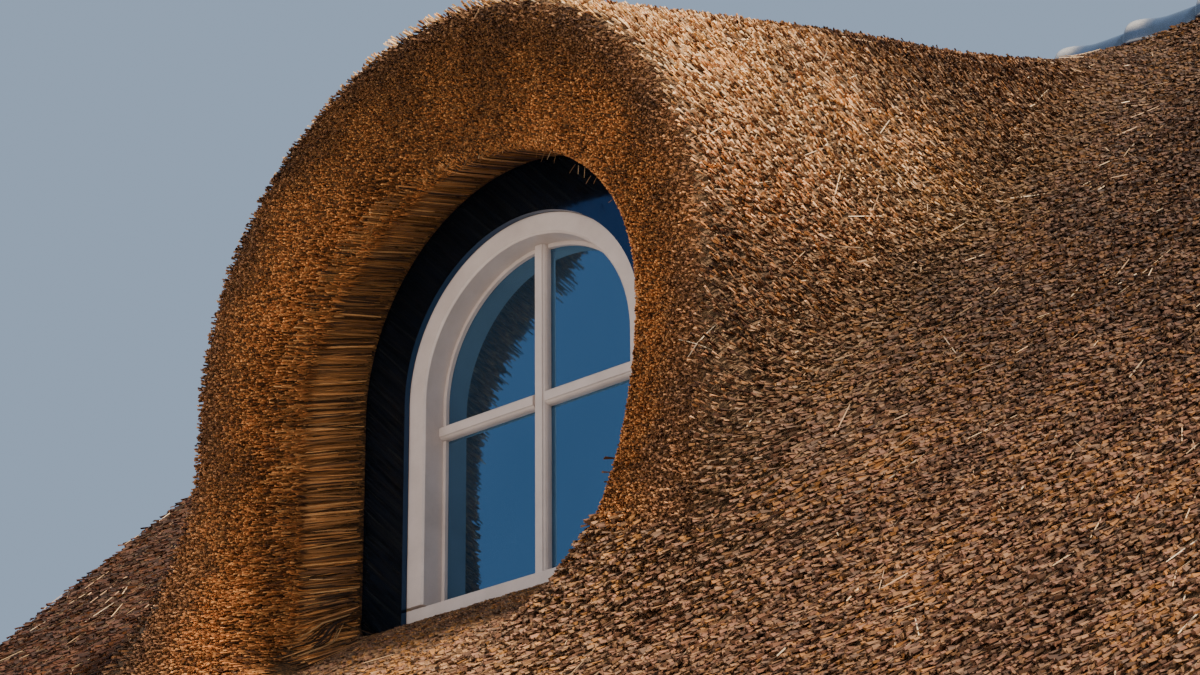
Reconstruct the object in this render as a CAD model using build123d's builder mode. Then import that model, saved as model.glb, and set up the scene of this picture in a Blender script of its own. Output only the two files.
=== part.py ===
from build123d import *
import os
from math import sin, cos, atan2, sqrt, pi, radians, hypot, exp

# Arched dormer window in a thatched roof: white timber frame with four panes,
# a dark surround board, a thatch hood that sweeps into the main roof on both
# sides, and the timber roof structure that carries it.  Millimetres.
#
# Dimensions below are in window coordinates: x to the right, y into the roof,
# z up, with zero at the middle of the frame's lower front edge.  WIN_Y and
# WIN_Z put that point into the part's frame, whose origin is the middle of
# the lower header's seat.

# ---- window ----
FRAME_W = 1000.0          # outer width of the frame
FACE = 67.0               # face width of the frame timber
FRAME_D = 139.0           # depth of the frame timber
SPRING = 747.0            # height of the springing line
R_OUT = FRAME_W / 2
R_IN = R_OUT - FACE
TRANSOM_Z = 657.0         # middle of the transom
BAR_FRONT = 29.0          # flat front of a glazing bar
BAR_W = 50.0              # full width of a glazing bar
BAR_Y = 66.0              # front of the bars
GLASS_Y = 98.0            # front of the glass
GLASS_T = 24.0            # sealed unit
BEAD = 13.0               # glazing bead
SCARF = 76.0              # direction of the scarf joint in the arched head, degrees

# ---- surround ----
SUR_T = 22.0              # thickness of the surround board
SUR_R = 678.0             # its outer half width

# ---- roof ----
C0 = 80.0                 # reference plane of the roof structure: z = y + C0, 45 degrees
THATCH = 300.0            # the boarding lies this far below it
TILT = 0.9325             # the thatch tapers towards the ridge: its surface is
SURF = 190.0              # z = TILT * y + SURF
SWELL = 140.0             # extra thickness at the right foot of the hood
DECK = 18.0
RAFTER_W, RAFTER_D = 71.0, 196.0
HALF_W = 3200.0           # half width of the roof field
FIELD_X = 2300.0          # where the swept part meets the plain fields
Y_LOW = -1460.0           # lower edge, on the reference plane
Y_TOP = 2653.0            # where the thatch meets the ridge tiles
Y_RIDGE = 2779.0          # middle of the ridge
RIDGE_Z = 2665.0
TILE_R, TILE_T = 125.0, 15.0

# ---- hood ----
R_HOOD = 1060.0           # outer half width of the hood
R_REV = 690.0             # half width of the reveal
RISE = 0.315              # the hood climbs towards the ridge
HOOD_C = 866.0            # centre height of the outer arch at y = 0
REV_C = 755.0             # centre height of the inner arch at y = 0
FACE_Y = -310.0           # inner arris of the front face
SPLAY = 0.33              # the front face leans forward towards its rim
VALLEY = 700.0            # sweep radius between flank and roof
VALLEY_TOP = 300.0        # the same, at the ridge
FOOT = 450.0              # sweep radius between front face and roof
FLOOR_Z = 2.0             # thatch at the foot of the window
FLOOR_FALL = 165.0        # fall of that thatch from the board to the front face
REAR_Y = -24.0            # thatch stops in front of the surround board
WALL_T = 139.0

R2 = sqrt(2.0)
SLANT = hypot(1.0, TILT)
SEAT_S = -201.0           # lower header, distance up the slope
SEAT_N = -(THATCH + DECK + RAFTER_D)
WIN_Y = -(SEAT_S - SEAT_N) / R2
WIN_Z = -(C0 + (SEAT_S + SEAT_N) / R2)

os.makedirs("parts", exist_ok=True)


# ---- planes ----
def front(y):
    # parallel to the window face, local x = x, local y = z, facing outwards
    return Plane(origin=(0, WIN_Y + y, WIN_Z), x_dir=(1, 0, 0), z_dir=(0, -1, 0))


def side(x):
    # square to the ridge, local x = y, local y = z
    return Plane(origin=(x, WIN_Y, WIN_Z), x_dir=(0, 1, 0), z_dir=(1, 0, 0))


def roof(n):
    # parallel to the roof, local x = x, local y = up the slope
    return Plane(origin=(0, WIN_Y - n / R2, WIN_Z + C0 + n / R2),
                 x_dir=(1, 0, 0), z_dir=(0, -1 / R2, 1 / R2))


def radial(a):
    # half plane through the arch axis, local x = distance, local y = y
    return Plane(origin=(0, WIN_Y, WIN_Z + SPRING),
                 x_dir=(cos(a), 0, sin(a)), z_dir=(-sin(a), 0, cos(a)))


# ---- swept thatch surface ----
def crest(y):
    return HOOD_C + RISE * y - 5e-5 * max(0.0, y - 900.0) ** 2


def body(x, y, z):
    # negative inside the thatch
    wide = 440.0 if x < 900.0 else 560.0
    swell = SWELL * exp(-((x - 900.0) / wide) ** 2 - ((y + 380.0) / 480.0) ** 2)
    fr = (z - TILT * y - SURF - swell) / SLANT
    c = crest(y)
    rho = hypot(x, z - c) if z > c else abs(x)
    fo = rho - R_HOOD
    ff = (FACE_Y - SPLAY * (min(rho, R_HOOD + 200.0) - R_REV)) - y
    h = max(fo, ff) if max(fo, ff) < 0 else hypot(max(fo, 0.0), max(ff, 0.0))
    w = min(1.0, max(0.0, (fo - ff + 400.0) / 800.0))
    w = w * w * (3.0 - 2.0 * w)
    v = VALLEY - (VALLEY - VALLEY_TOP) * min(1.0, max(0.0, (y - 300.0) / 2350.0))
    r = FOOT + (v - FOOT) * w
    if fr < r and h < r:
        return max(r, min(fr, h)) - hypot(max(r - fr, 0.0), max(r - h, 0.0))
    return min(fr, h)


def opening(a, half, floor, r, c=SPRING, wide=1.0):
    # distance from the arch axis to the outline of the opening
    lo, hi = 100.0, 6000.0
    for _ in range(50):
        m = (lo + hi) / 2
        x, z = abs(m * cos(a)) / wide, SPRING + m * sin(a)
        if z > c:
            d = hypot(x, z - c) - half
        else:
            qx, qz = x - (half - r), (floor + r) - z
            if qx > 0 and qz > 0:
                d = hypot(qx, qz) - r
            else:
                d = max(qx, qz) - r
        if d < 0:
            lo = m
        else:
            hi = m
    return (lo + hi) / 2


def root(f, lo, hi):
    for _ in range(46):
        m = (lo + hi) / 2
        if f(m) > 0:
            lo = m
        else:
            hi = m
    return (lo + hi) / 2


def tunnel(a, y):
    # the hood's inner surface at this direction and depth
    return opening(a, R_REV, FLOOR_Z, 80.0, REV_C + RISE * y)


DROP = THATCH * R2        # thickness measured straight down


def profile(a):
    # closed profile in the radial half plane, as lists of (distance, y)
    ca, sa = cos(a), sin(a)

    def f(r, y):
        return body(r * ca, y, SPRING + r * sa)

    r0 = opening(a, R_REV - 10.0, FLOOR_Z, 45.0)
    r1 = opening(a, R_REV, FLOOR_Z - FLOOR_FALL, 165.0, REV_C + RISE * FACE_Y, 1.05)
    y2 = FACE_Y - SPLAY * (R_HOOD - R_REV)
    r2 = opening(a, R_HOOD, -5000.0, 80.0, crest(y2))
    if sa < 0:
        r2 = min(r2, root(lambda r: f(r, y2), r1 + 20.0, 2400.0))
    # run past the field's edges, which are cut straight afterwards
    r3 = 1e9
    if abs(ca) > 1e-6:
        r3 = abs((FIELD_X + 400.0) / ca)
    if sa > 0:
        r3 = min(r3, (TILT * (Y_TOP + 400.0) + SURF - SPRING) / sa)
    if sa < 0:
        r3 = min(r3, (TILT * (Y_LOW - 500.0) + SURF - SPRING) / sa)
    y3 = (SPRING + r3 * sa - SURF) / TILT
    end_top, end_low = (r3, y3), (r3, SPRING + r3 * sa - C0 + DROP)
    # outer surface
    top = [(r2, y2)]
    for k in range(1, 14):
        t = (k / 14.0) ** 1.5
        r = r2 + (r3 - r2) * t
        y = root(lambda q: f(r, q), min(y2, end_top[1]) - 200.0, Y_TOP + 900.0)
        top.append((r, y))
    top.append(end_top)
    # corner between the roof's underside and the hood's inner surface
    if sa > 0:
        yc = root(lambda y: tunnel(a, y) - (y + C0 - DROP - SPRING) / sa if (y + C0 - DROP - SPRING) > 0 else 1.0,
                  0.0, Y_TOP + 900.0)
        rc = tunnel(a, yc)
    else:
        rc = tunnel(a, 0.0)
        yc = SPRING + rc * sa - C0 + DROP
    n = 7
    inner = []
    for k in range(n):
        y = yc + (REAR_Y - yc) * k / (n - 1)
        inner.append((tunnel(a, y), y))
    inner[-1] = (r0, REAR_Y)
    inner[0] = (rc, yc)
    return (r0, REAR_Y), (r1, FACE_Y), top, end_low, inner


Y_EAVE = (2 * Y_LOW + C0 - SURF) / (1 + TILT)      # lower edge, on the surface
CORNER_UP = atan2(TILT * Y_TOP + SURF - SPRING, FIELD_X - 160.0)
CORNER_DN = atan2(TILT * Y_EAVE + SURF - SPRING, FIELD_X - 160.0)
LOW_CUT = Plane(origin=(0, WIN_Y + Y_LOW, WIN_Z + Y_LOW + C0), x_dir=(1, 0, 0), z_dir=(0, 1 / R2, 1 / R2))


def fan(a0, a1, n):
    return [a0 + (a1 - a0) * k / n for k in range(n + 1)]


# ---- thatch, lofted round the window ----
with BuildPart() as crown_thatch:
    for ang in fan(CORNER_UP, pi - CORNER_UP, 16):
        p0, p1, top, low, inner = profile(ang)
        with BuildSketch(radial(ang)):
            with BuildLine():
                Line(p0, p1)
                Line(p1, top[0])
                Spline(*top)
                Line(top[-1], low)
                Line(low, inner[0])
                Spline(*inner)
            make_face()
    loft(ruled=True)
    split(bisect_by=front(Y_TOP), keep=Keep.TOP)
    split(bisect_by=side(FIELD_X), keep=Keep.BOTTOM)
    split(bisect_by=side(-FIELD_X), keep=Keep.TOP)
crown_thatch.part.label = "crown_thatch"
export_step(crown_thatch.part, "parts/crown_thatch.step")

with BuildPart() as right_flank_thatch:
    for ang in fan(CORNER_DN, CORNER_UP, 10):
        p0, p1, top, low, inner = profile(ang)
        with BuildSketch(radial(ang)):
            with BuildLine():
                Line(p0, p1)
                Line(p1, top[0])
                Spline(*top)
                Line(top[-1], low)
                Line(low, inner[0])
                Spline(*inner)
            make_face()
    loft(ruled=True)
    split(bisect_by=side(FIELD_X), keep=Keep.BOTTOM)
    split(bisect_by=front(Y_TOP), keep=Keep.TOP)
    split(bisect_by=LOW_CUT, keep=Keep.TOP)
    # room for the upstand wall and the window board
    with BuildSketch(side(-R_REV)):
        with BuildLine():
            Polyline((REAR_Y, FLOOR_Z + 200), (REAR_Y, REAR_Y + C0 - DROP - 1), (FLOOR_Z + 201 - C0 + DROP, FLOOR_Z + 200),
                     close=True)
        make_face()
    extrude(amount=2 * R_REV, mode=Mode.SUBTRACT)
right_flank_thatch.part.label = "right_flank_thatch"
export_step(right_flank_thatch.part, "parts/right_flank_thatch.step")

with BuildPart() as left_flank_thatch:
    for ang in fan(pi - CORNER_UP, pi - CORNER_DN, 10):
        p0, p1, top, low, inner = profile(ang)
        with BuildSketch(radial(ang)):
            with BuildLine():
                Line(p0, p1)
                Line(p1, top[0])
                Spline(*top)
                Line(top[-1], low)
                Line(low, inner[0])
                Spline(*inner)
            make_face()
    loft(ruled=True)
    split(bisect_by=side(-FIELD_X), keep=Keep.TOP)
    split(bisect_by=front(Y_TOP), keep=Keep.TOP)
    split(bisect_by=LOW_CUT, keep=Keep.TOP)
    with BuildSketch(side(-R_REV)):
        with BuildLine():
            Polyline((REAR_Y, FLOOR_Z + 200), (REAR_Y, REAR_Y + C0 - DROP - 1), (FLOOR_Z + 201 - C0 + DROP, FLOOR_Z + 200),
                     close=True)
        make_face()
    extrude(amount=2 * R_REV, mode=Mode.SUBTRACT)
left_flank_thatch.part.label = "left_flank_thatch"
export_step(left_flank_thatch.part, "parts/left_flank_thatch.step")

with BuildPart() as apron_thatch:
    for ang in fan(-pi - CORNER_DN, CORNER_DN, 16):
        p0, p1, top, low, inner = profile(ang)
        with BuildSketch(radial(ang)):
            with BuildLine():
                Line(p0, p1)
                Line(p1, top[0])
                Spline(*top)
                Line(top[-1], low)
                Line(low, inner[0])
                Spline(*inner)
            make_face()
    loft(ruled=True)
    split(bisect_by=LOW_CUT, keep=Keep.TOP)
    split(bisect_by=side(FIELD_X), keep=Keep.BOTTOM)
    split(bisect_by=side(-FIELD_X), keep=Keep.TOP)
    with BuildSketch(side(-R_REV)):
        with BuildLine():
            Polyline((REAR_Y, FLOOR_Z + 200), (REAR_Y, REAR_Y + C0 - DROP - 1), (FLOOR_Z + 201 - C0 + DROP, FLOOR_Z + 200),
                     close=True)
        make_face()
    extrude(amount=2 * R_REV, mode=Mode.SUBTRACT)
apron_thatch.part.label = "apron_thatch"
export_step(apron_thatch.part, "parts/apron_thatch.step")

# ---- plain roof fields ----
with BuildPart() as right_roof_thatch:
    with BuildSketch(side(FIELD_X)):
        with BuildLine():
            Polyline((Y_EAVE, TILT * Y_EAVE + SURF), (Y_TOP, TILT * Y_TOP + SURF), (Y_TOP, Y_TOP + C0 - DROP),
                     (Y_LOW + THATCH / R2, Y_LOW + C0 - THATCH / R2), close=True)
        make_face()
    extrude(amount=HALF_W - FIELD_X)
right_roof_thatch.part.label = "right_roof_thatch"
export_step(right_roof_thatch.part, "parts/right_roof_thatch.step")

with BuildPart() as left_roof_thatch:
    add(mirror(right_roof_thatch.part, about=Plane.YZ, mode=Mode.PRIVATE))
left_roof_thatch.part.label = "left_roof_thatch"
export_step(left_roof_thatch.part, "parts/left_roof_thatch.step")

# strip of thatch under the ridge tiles, up to the middle of the ridge
with BuildPart() as ridge_thatch:
    with BuildSketch(side(-HALF_W)):
        with BuildLine():
            Polyline((Y_TOP + 1, Y_TOP + 1 + C0 - DROP), (Y_RIDGE, Y_RIDGE + C0 - DROP), (Y_RIDGE, RIDGE_Z - 4),
                     (Y_TOP + 1, RIDGE_Z - 4), close=True)
        make_face()
    extrude(amount=2 * HALF_W)
ridge_thatch.part.label = "ridge_thatch"
export_step(ridge_thatch.part, "parts/ridge_thatch.step")

# ---- ridge ----
with BuildPart() as ridge_tiles:
    with BuildSketch(side(-HALF_W)) as rt:
        with BuildLine():
            Line((Y_RIDGE - TILE_R, RIDGE_Z), (Y_RIDGE - TILE_R + TILE_T, RIDGE_Z))
            ThreePointArc((Y_RIDGE - TILE_R + TILE_T, RIDGE_Z), (Y_RIDGE, RIDGE_Z + TILE_R - TILE_T),
                          (Y_RIDGE + TILE_R - TILE_T, RIDGE_Z))
            Line((Y_RIDGE + TILE_R - TILE_T, RIDGE_Z), (Y_RIDGE + TILE_R, RIDGE_Z))
            ThreePointArc((Y_RIDGE + TILE_R, RIDGE_Z), (Y_RIDGE, RIDGE_Z + TILE_R), (Y_RIDGE - TILE_R, RIDGE_Z))
        make_face()
    extrude(amount=2 * HALF_W)
ridge_tiles.part.label = "ridge_tiles"
export_step(ridge_tiles.part, "parts/ridge_tiles.step")

with BuildPart() as ridge_bedding:
    rb = TILE_R - TILE_T - 1.0
    with BuildSketch(side(-HALF_W)):
        with BuildLine():
            Polyline((Y_RIDGE, RIDGE_Z + rb), (Y_RIDGE, RIDGE_Z - 4), (Y_RIDGE - rb, RIDGE_Z - 4), (Y_RIDGE - rb, RIDGE_Z))
            ThreePointArc((Y_RIDGE - rb, RIDGE_Z), (Y_RIDGE - rb / R2, RIDGE_Z + rb / R2), (Y_RIDGE, RIDGE_Z + rb))
        make_face()
    extrude(amount=2 * HALF_W)
ridge_bedding.part.label = "ridge_bedding"
export_step(ridge_bedding.part, "parts/ridge_bedding.step")

BEAM_H = 270.0
with BuildPart() as ridge_beam:
    zb = Y_RIDGE - RAFTER_W + C0 - DROP - DECK * R2
    with BuildSketch(side(-HALF_W)):
        with BuildLine():
            Polyline((Y_RIDGE - RAFTER_W, zb - BEAM_H), (Y_RIDGE, zb - BEAM_H), (Y_RIDGE, zb + RAFTER_W),
                     (Y_RIDGE - RAFTER_W, zb), close=True)
        make_face()
    extrude(amount=2 * HALF_W)
ridge_beam.part.label = "ridge_beam"
export_step(ridge_beam.part, "parts/ridge_beam.step")

# ---- surround board ----
with BuildPart() as surround_board:
    with BuildSketch(front(-SUR_T)):
        with BuildLine():
            Line((-SUR_R, 0), (-SUR_R, SPRING))
            ThreePointArc((-SUR_R, SPRING), (0, SPRING + SUR_R), (SUR_R, SPRING))
            Line((SUR_R, SPRING), (SUR_R, 0))
            Line((SUR_R, 0), (R_OUT + 1, 0))
            Line((R_OUT + 1, 0), (R_OUT + 1, SPRING))
            ThreePointArc((R_OUT + 1, SPRING), (0, SPRING + R_OUT + 1), (-R_OUT - 1, SPRING))
            Line((-R_OUT - 1, SPRING), (-R_OUT - 1, 0))
            Line((-R_OUT - 1, 0), (-SUR_R, 0))
        make_face()
    extrude(amount=-SUR_T)
surround_board.part.label = "surround_board"
export_step(surround_board.part, "parts/surround_board.step")

# ---- white frame ----
with BuildPart() as bottom_rail:
    with BuildSketch(side(-R_OUT)):
        with BuildLine():
            Polyline((0, 0), (FRAME_D, 0), (FRAME_D, FACE), (GLASS_Y + GLASS_T, FACE), (GLASS_Y + GLASS_T, FACE - 10),
                     (GLASS_Y, FACE - 10), (GLASS_Y, FACE + 3), (12, FACE - 2), (0, FACE - 8), close=True)
        make_face()
    extrude(amount=FRAME_W)
bottom_rail.part.label = "bottom_rail"
export_step(bottom_rail.part, "parts/bottom_rail.step")

# section of jamb and head, x measured outwards from the sight line
MEMBER = [(FACE, 0), (6, 0), (0, 6), (0, GLASS_Y), (10, GLASS_Y), (10, GLASS_Y + GLASS_T), (0, GLASS_Y + GLASS_T),
          (0, FRAME_D), (FACE, FRAME_D)]

with BuildPart() as right_jamb:
    with BuildSketch(Plane(origin=(0, WIN_Y, WIN_Z + FACE + 3.2), x_dir=(1, 0, 0), z_dir=(0, 0, 1))):
        with BuildLine():
            Polyline(*[(R_IN + u, v) for u, v in MEMBER], close=True)
        make_face()
    extrude(amount=SPRING - FACE - 3.2)
right_jamb.part.label = "right_jamb"
export_step(right_jamb.part, "parts/right_jamb.step")

with BuildPart() as left_jamb:
    add(mirror(right_jamb.part, about=Plane.YZ, mode=Mode.PRIVATE))
left_jamb.part.label = "left_jamb"
export_step(left_jamb.part, "parts/left_jamb.step")

AXIS = Axis((0, WIN_Y, WIN_Z + SPRING), (0, -1, 0))
with BuildPart() as right_arch:
    with BuildSketch(Plane(origin=(0, WIN_Y, WIN_Z + SPRING), x_dir=(1, 0, 0), z_dir=(0, 0, 1))):
        with BuildLine():
            Polyline(*[(R_IN + u, v) for u, v in MEMBER], close=True)
        make_face()
    revolve(axis=AXIS, revolution_arc=SCARF)
right_arch.part.label = "right_arch"
export_step(right_arch.part, "parts/right_arch.step")

with BuildPart() as left_arch:
    with BuildSketch(radial(radians(SCARF))):
        with BuildLine():
            Polyline(*[(R_IN + u, v) for u, v in MEMBER], close=True)
        make_face()
    revolve(axis=AXIS, revolution_arc=180 - SCARF)
left_arch.part.label = "left_arch"
export_step(left_arch.part, "parts/left_arch.step")

# ---- glazing bars: front flat, rounded moulding, web between the panes ----
BF, BW = BAR_FRONT / 2, BAR_W / 2
BAR = [(-BF, BAR_Y), (BF, BAR_Y), (BF + 1.5, BAR_Y + 4), (BF + 6, BAR_Y + 8), (BW - 1, BAR_Y + 15), (BW, BAR_Y + 22),
       (BW, GLASS_Y), (9, GLASS_Y), (9, GLASS_Y + GLASS_T), (BW - 4, GLASS_Y + GLASS_T), (BF, FRAME_D - 4),
       (-BF, FRAME_D - 4), (-BW + 4, GLASS_Y + GLASS_T), (-9, GLASS_Y + GLASS_T), (-9, GLASS_Y), (-BW, GLASS_Y),
       (-BW, BAR_Y + 22), (-BW + 1, BAR_Y + 15), (-BF - 6, BAR_Y + 8), (-BF - 1.5, BAR_Y + 4)]

with BuildPart() as mullion:
    with BuildSketch(Plane(origin=(0, WIN_Y, WIN_Z + FACE + 3.2), x_dir=(1, 0, 0), z_dir=(0, 0, 1))):
        with BuildLine():
            Polyline(*BAR, close=True)
        make_face()
    extrude(amount=SPRING + R_IN - FACE - 4.5)
mullion.part.label = "mullion"
export_step(mullion.part, "parts/mullion.step")

with BuildPart() as transom:
    for x0 in (-R_IN + 0.5, BW + 0.2):
        with BuildSketch(side(x0)):
            with BuildLine():
                Polyline(*[(v, TRANSOM_Z + u) for u, v in BAR], close=True)
            make_face()
        extrude(amount=R_IN - BW - 0.7)
transom.part.label = "transom"
export_step(transom.part, "parts/transom.step")

# ---- panes ----
GX, GR, GZ0 = 9.3, R_IN + 9.5, FACE - 9.5
with BuildPart() as upper_right_pane:
    with BuildSketch(front(GLASS_Y + 0.3)):
        with BuildLine():
            Polyline((GX, SPRING + sqrt(GR ** 2 - GX ** 2)), (GX, TRANSOM_Z + 9.3), (GR, TRANSOM_Z + 9.3), (GR, SPRING))
            ThreePointArc((GR, SPRING), (GR * cos(pi / 4), SPRING + GR * sin(pi / 4)),
                          (GX, SPRING + sqrt(GR ** 2 - GX ** 2)))
        make_face()
    extrude(amount=-(GLASS_T - 0.6))
upper_right_pane.part.label = "upper_right_pane"
export_step(upper_right_pane.part, "parts/upper_right_pane.step")

with BuildPart() as upper_left_pane:
    add(mirror(upper_right_pane.part, about=Plane.YZ, mode=Mode.PRIVATE))
upper_left_pane.part.label = "upper_left_pane"
export_step(upper_left_pane.part, "parts/upper_left_pane.step")

with BuildPart() as lower_right_pane:
    with BuildSketch(front(GLASS_Y + 0.3)):
        with BuildLine():
            Polyline((GX, GZ0), (GR, GZ0), (GR, TRANSOM_Z - 9.3), (GX, TRANSOM_Z - 9.3), close=True)
        make_face()
    extrude(amount=-(GLASS_T - 0.6))
lower_right_pane.part.label = "lower_right_pane"
export_step(lower_right_pane.part, "parts/lower_right_pane.step")

with BuildPart() as lower_left_pane:
    add(mirror(lower_right_pane.part, about=Plane.YZ, mode=Mode.PRIVATE))
lower_left_pane.part.label = "lower_left_pane"
export_step(lower_left_pane.part, "parts/lower_left_pane.step")

# ---- glazing beads in front of the panes ----
BZ0, BZ1, BZ2 = FACE + 3.4, TRANSOM_Z - BW - 0.4, TRANSOM_Z + BW + 0.4
BX = BW + 0.4
BR = R_IN - 0.4
with BuildPart() as glazing_beads:
    for sgn in (-1, 1):
        with BuildSketch(front(GLASS_Y - 14)):
            with BuildLine():
                Polyline((sgn * BR, BZ0), (sgn * BR, BZ1), (sgn * (BR - BEAD), BZ1), (sgn * (BR - BEAD), BZ0 + BEAD),
                         (sgn * BX, BZ0 + BEAD), (sgn * BX, BZ0), close=True)
            make_face()
        extrude(amount=-13.6)
        with BuildSketch(front(GLASS_Y - 14)):
            with BuildLine():
                Line((sgn * BR, SPRING), (sgn * BR, BZ2))
                Line((sgn * BR, BZ2), (sgn * (BR - BEAD), BZ2))
                Line((sgn * (BR - BEAD), BZ2), (sgn * (BR - BEAD), SPRING))
                ThreePointArc((sgn * (BR - BEAD), SPRING),
                              (sgn * (BR - BEAD) * cos(pi / 4), SPRING + (BR - BEAD) * sin(pi / 4)),
                              (sgn * BX, SPRING + sqrt((BR - BEAD) ** 2 - BX ** 2)))
                Line((sgn * BX, SPRING + sqrt((BR - BEAD) ** 2 - BX ** 2)), (sgn * BX, SPRING + sqrt(BR ** 2 - BX ** 2)))
                ThreePointArc((sgn * BX, SPRING + sqrt(BR ** 2 - BX ** 2)),
                              (sgn * BR * cos(pi / 4), SPRING + BR * sin(pi / 4)), (sgn * BR, SPRING))
            make_face()
        extrude(amount=-13.6)
glazing_beads.part.label = "glazing_beads"
export_step(glazing_beads.part, "parts/glazing_beads.step")

# ---- wall round the window ----
POST_X0, POST_X1 = R_OUT + 2, SUR_R
with BuildPart() as right_window_post:
    with BuildSketch(side(POST_X0)):
        with BuildLine():
            Polyline((0.5, SPRING), (FRAME_D, SPRING), (FRAME_D, FRAME_D + C0 - DROP), (0.5, 0.5 + C0 - DROP), close=True)
        make_face()
    extrude(amount=POST_X1 - POST_X0)
right_window_post.part.label = "right_window_post"
export_step(right_window_post.part, "parts/right_window_post.step")

with BuildPart() as left_window_post:
    add(mirror(right_window_post.part, about=Plane.YZ, mode=Mode.PRIVATE))
left_window_post.part.label = "left_window_post"
export_step(left_window_post.part, "parts/left_window_post.step")

with BuildPart() as arch_head:
    with BuildSketch(front(0.5)):
        with BuildLine():
            Line((POST_X0, SPRING), (POST_X1, SPRING))
            ThreePointArc((POST_X1, SPRING), (0, SPRING + POST_X1), (-POST_X1, SPRING))
            Line((-POST_X1, SPRING), (-POST_X0, SPRING))
            ThreePointArc((-POST_X0, SPRING), (0, SPRING + POST_X0), (POST_X0, SPRING))
        make_face()
    extrude(amount=-(FRAME_D - 0.5))
arch_head.part.label = "arch_head"
export_step(arch_head.part, "parts/arch_head.step")

with BuildPart() as window_upstand:
    with BuildSketch(side(-POST_X0 + 0.5)):
        with BuildLine():
            Polyline((0.5, -1), (FRAME_D, -1), (FRAME_D, FRAME_D + C0 - DROP), (0.5, 0.5 + C0 - DROP), close=True)
        make_face()
    extrude(amount=2 * POST_X0 - 1)
window_upstand.part.label = "window_upstand"
export_step(window_upstand.part, "parts/window_upstand.step")

with BuildPart() as window_board:
    with BuildSketch(side(-580)):
        with BuildLine():
            Polyline((FRAME_D + 0.5, -8), (FRAME_D + 170, -8), (FRAME_D + 178, 0), (FRAME_D + 178, 10),
                     (FRAME_D + 170, 18), (FRAME_D + 0.5, 18), close=True)
        make_face()
    extrude(amount=1160)
window_board.part.label = "window_board"
export_step(window_board.part, "parts/window_board.step")

# ---- lining of the hood ----
LIN_R0, LIN_R1 = R_REV - DECK - 14, R_REV - 14
LIN_Y0, LIN_Y1 = FRAME_D + 1, 2560.0


def lining_c(y):
    return REV_C + RISE * y


with BuildPart() as crown_boarding:
    with BuildSketch(front(LIN_Y0)):
        with BuildLine():
            c = lining_c(LIN_Y0)
            Line((LIN_R0, c), (LIN_R1, c))
            ThreePointArc((LIN_R1, c), (0, c + LIN_R1), (-LIN_R1, c))
            Line((-LIN_R1, c), (-LIN_R0, c))
            ThreePointArc((-LIN_R0, c), (0, c + LIN_R0), (LIN_R0, c))
        make_face()
    extrude(amount=(LIN_Y1 - LIN_Y0) * sqrt(1 + RISE ** 2), dir=(0, 1, RISE))
    split(bisect_by=roof(-THATCH), keep=Keep.TOP)
crown_boarding.part.label = "crown_boarding"
export_step(crown_boarding.part, "parts/crown_boarding.step")

y_meet = (REV_C - 0.5 - C0 + DROP) / (1 - RISE)
with BuildPart() as right_cheek_boarding:
    with BuildSketch(side(LIN_R0)):
        with BuildLine():
            Polyline((LIN_Y0, lining_c(LIN_Y0) - 0.5), (LIN_Y0, LIN_Y0 + C0 - DROP), (y_meet, y_meet + C0 - DROP),
                     close=True)
        make_face()
    extrude(amount=DECK)
right_cheek_boarding.part.label = "right_cheek_boarding"
export_step(right_cheek_boarding.part, "parts/right_cheek_boarding.step")

with BuildPart() as left_cheek_boarding:
    add(mirror(right_cheek_boarding.part, about=Plane.YZ, mode=Mode.PRIVATE))
left_cheek_boarding.part.label = "left_cheek_boarding"
export_step(left_cheek_boarding.part, "parts/left_cheek_boarding.step")

# ---- ribs under the lining ----
RIB_R0, RIB_R1, RIB_T = 586.0, LIN_R0 - 0.5, 60.0
with BuildPart() as front_rib:
    with BuildSketch(front(560)):
        with BuildLine():
            c, g = lining_c(560), 560 + C0 - DROP
            Line((RIB_R0, c), (RIB_R0, g - 60))
            Line((RIB_R0, g - 60), (RIB_R1, g - 60))
            Line((RIB_R1, g - 60), (RIB_R1, c))
            ThreePointArc((RIB_R1, c), (0, c + RIB_R1), (-RIB_R1, c))
            Line((-RIB_R1, c), (-RIB_R1, g - 60))
            Line((-RIB_R1, g - 60), (-RIB_R0, g - 60))
            Line((-RIB_R0, g - 60), (-RIB_R0, c))
            ThreePointArc((-RIB_R0, c), (0, c + RIB_R0), (RIB_R0, c))
        make_face()
    extrude(amount=RIB_T * sqrt(1 + RISE ** 2), dir=(0, 1, RISE))
    split(bisect_by=roof(-THATCH), keep=Keep.TOP)
front_rib.part.label = "front_rib"
export_step(front_rib.part, "parts/front_rib.step")

with BuildPart() as middle_rib:
    with BuildSketch(front(1060)):
        with BuildLine():
            c, g = lining_c(1060), 1060 + C0 - DROP
            Line((RIB_R0, c), (RIB_R0, g - 60))
            Line((RIB_R0, g - 60), (RIB_R1, g - 60))
            Line((RIB_R1, g - 60), (RIB_R1, c))
            ThreePointArc((RIB_R1, c), (0, c + RIB_R1), (-RIB_R1, c))
            Line((-RIB_R1, c), (-RIB_R1, g - 60))
            Line((-RIB_R1, g - 60), (-RIB_R0, g - 60))
            Line((-RIB_R0, g - 60), (-RIB_R0, c))
            ThreePointArc((-RIB_R0, c), (0, c + RIB_R0), (RIB_R0, c))
        make_face()
    extrude(amount=RIB_T * sqrt(1 + RISE ** 2), dir=(0, 1, RISE))
    split(bisect_by=roof(-THATCH), keep=Keep.TOP)
middle_rib.part.label = "middle_rib"
export_step(middle_rib.part, "parts/middle_rib.step")

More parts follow.
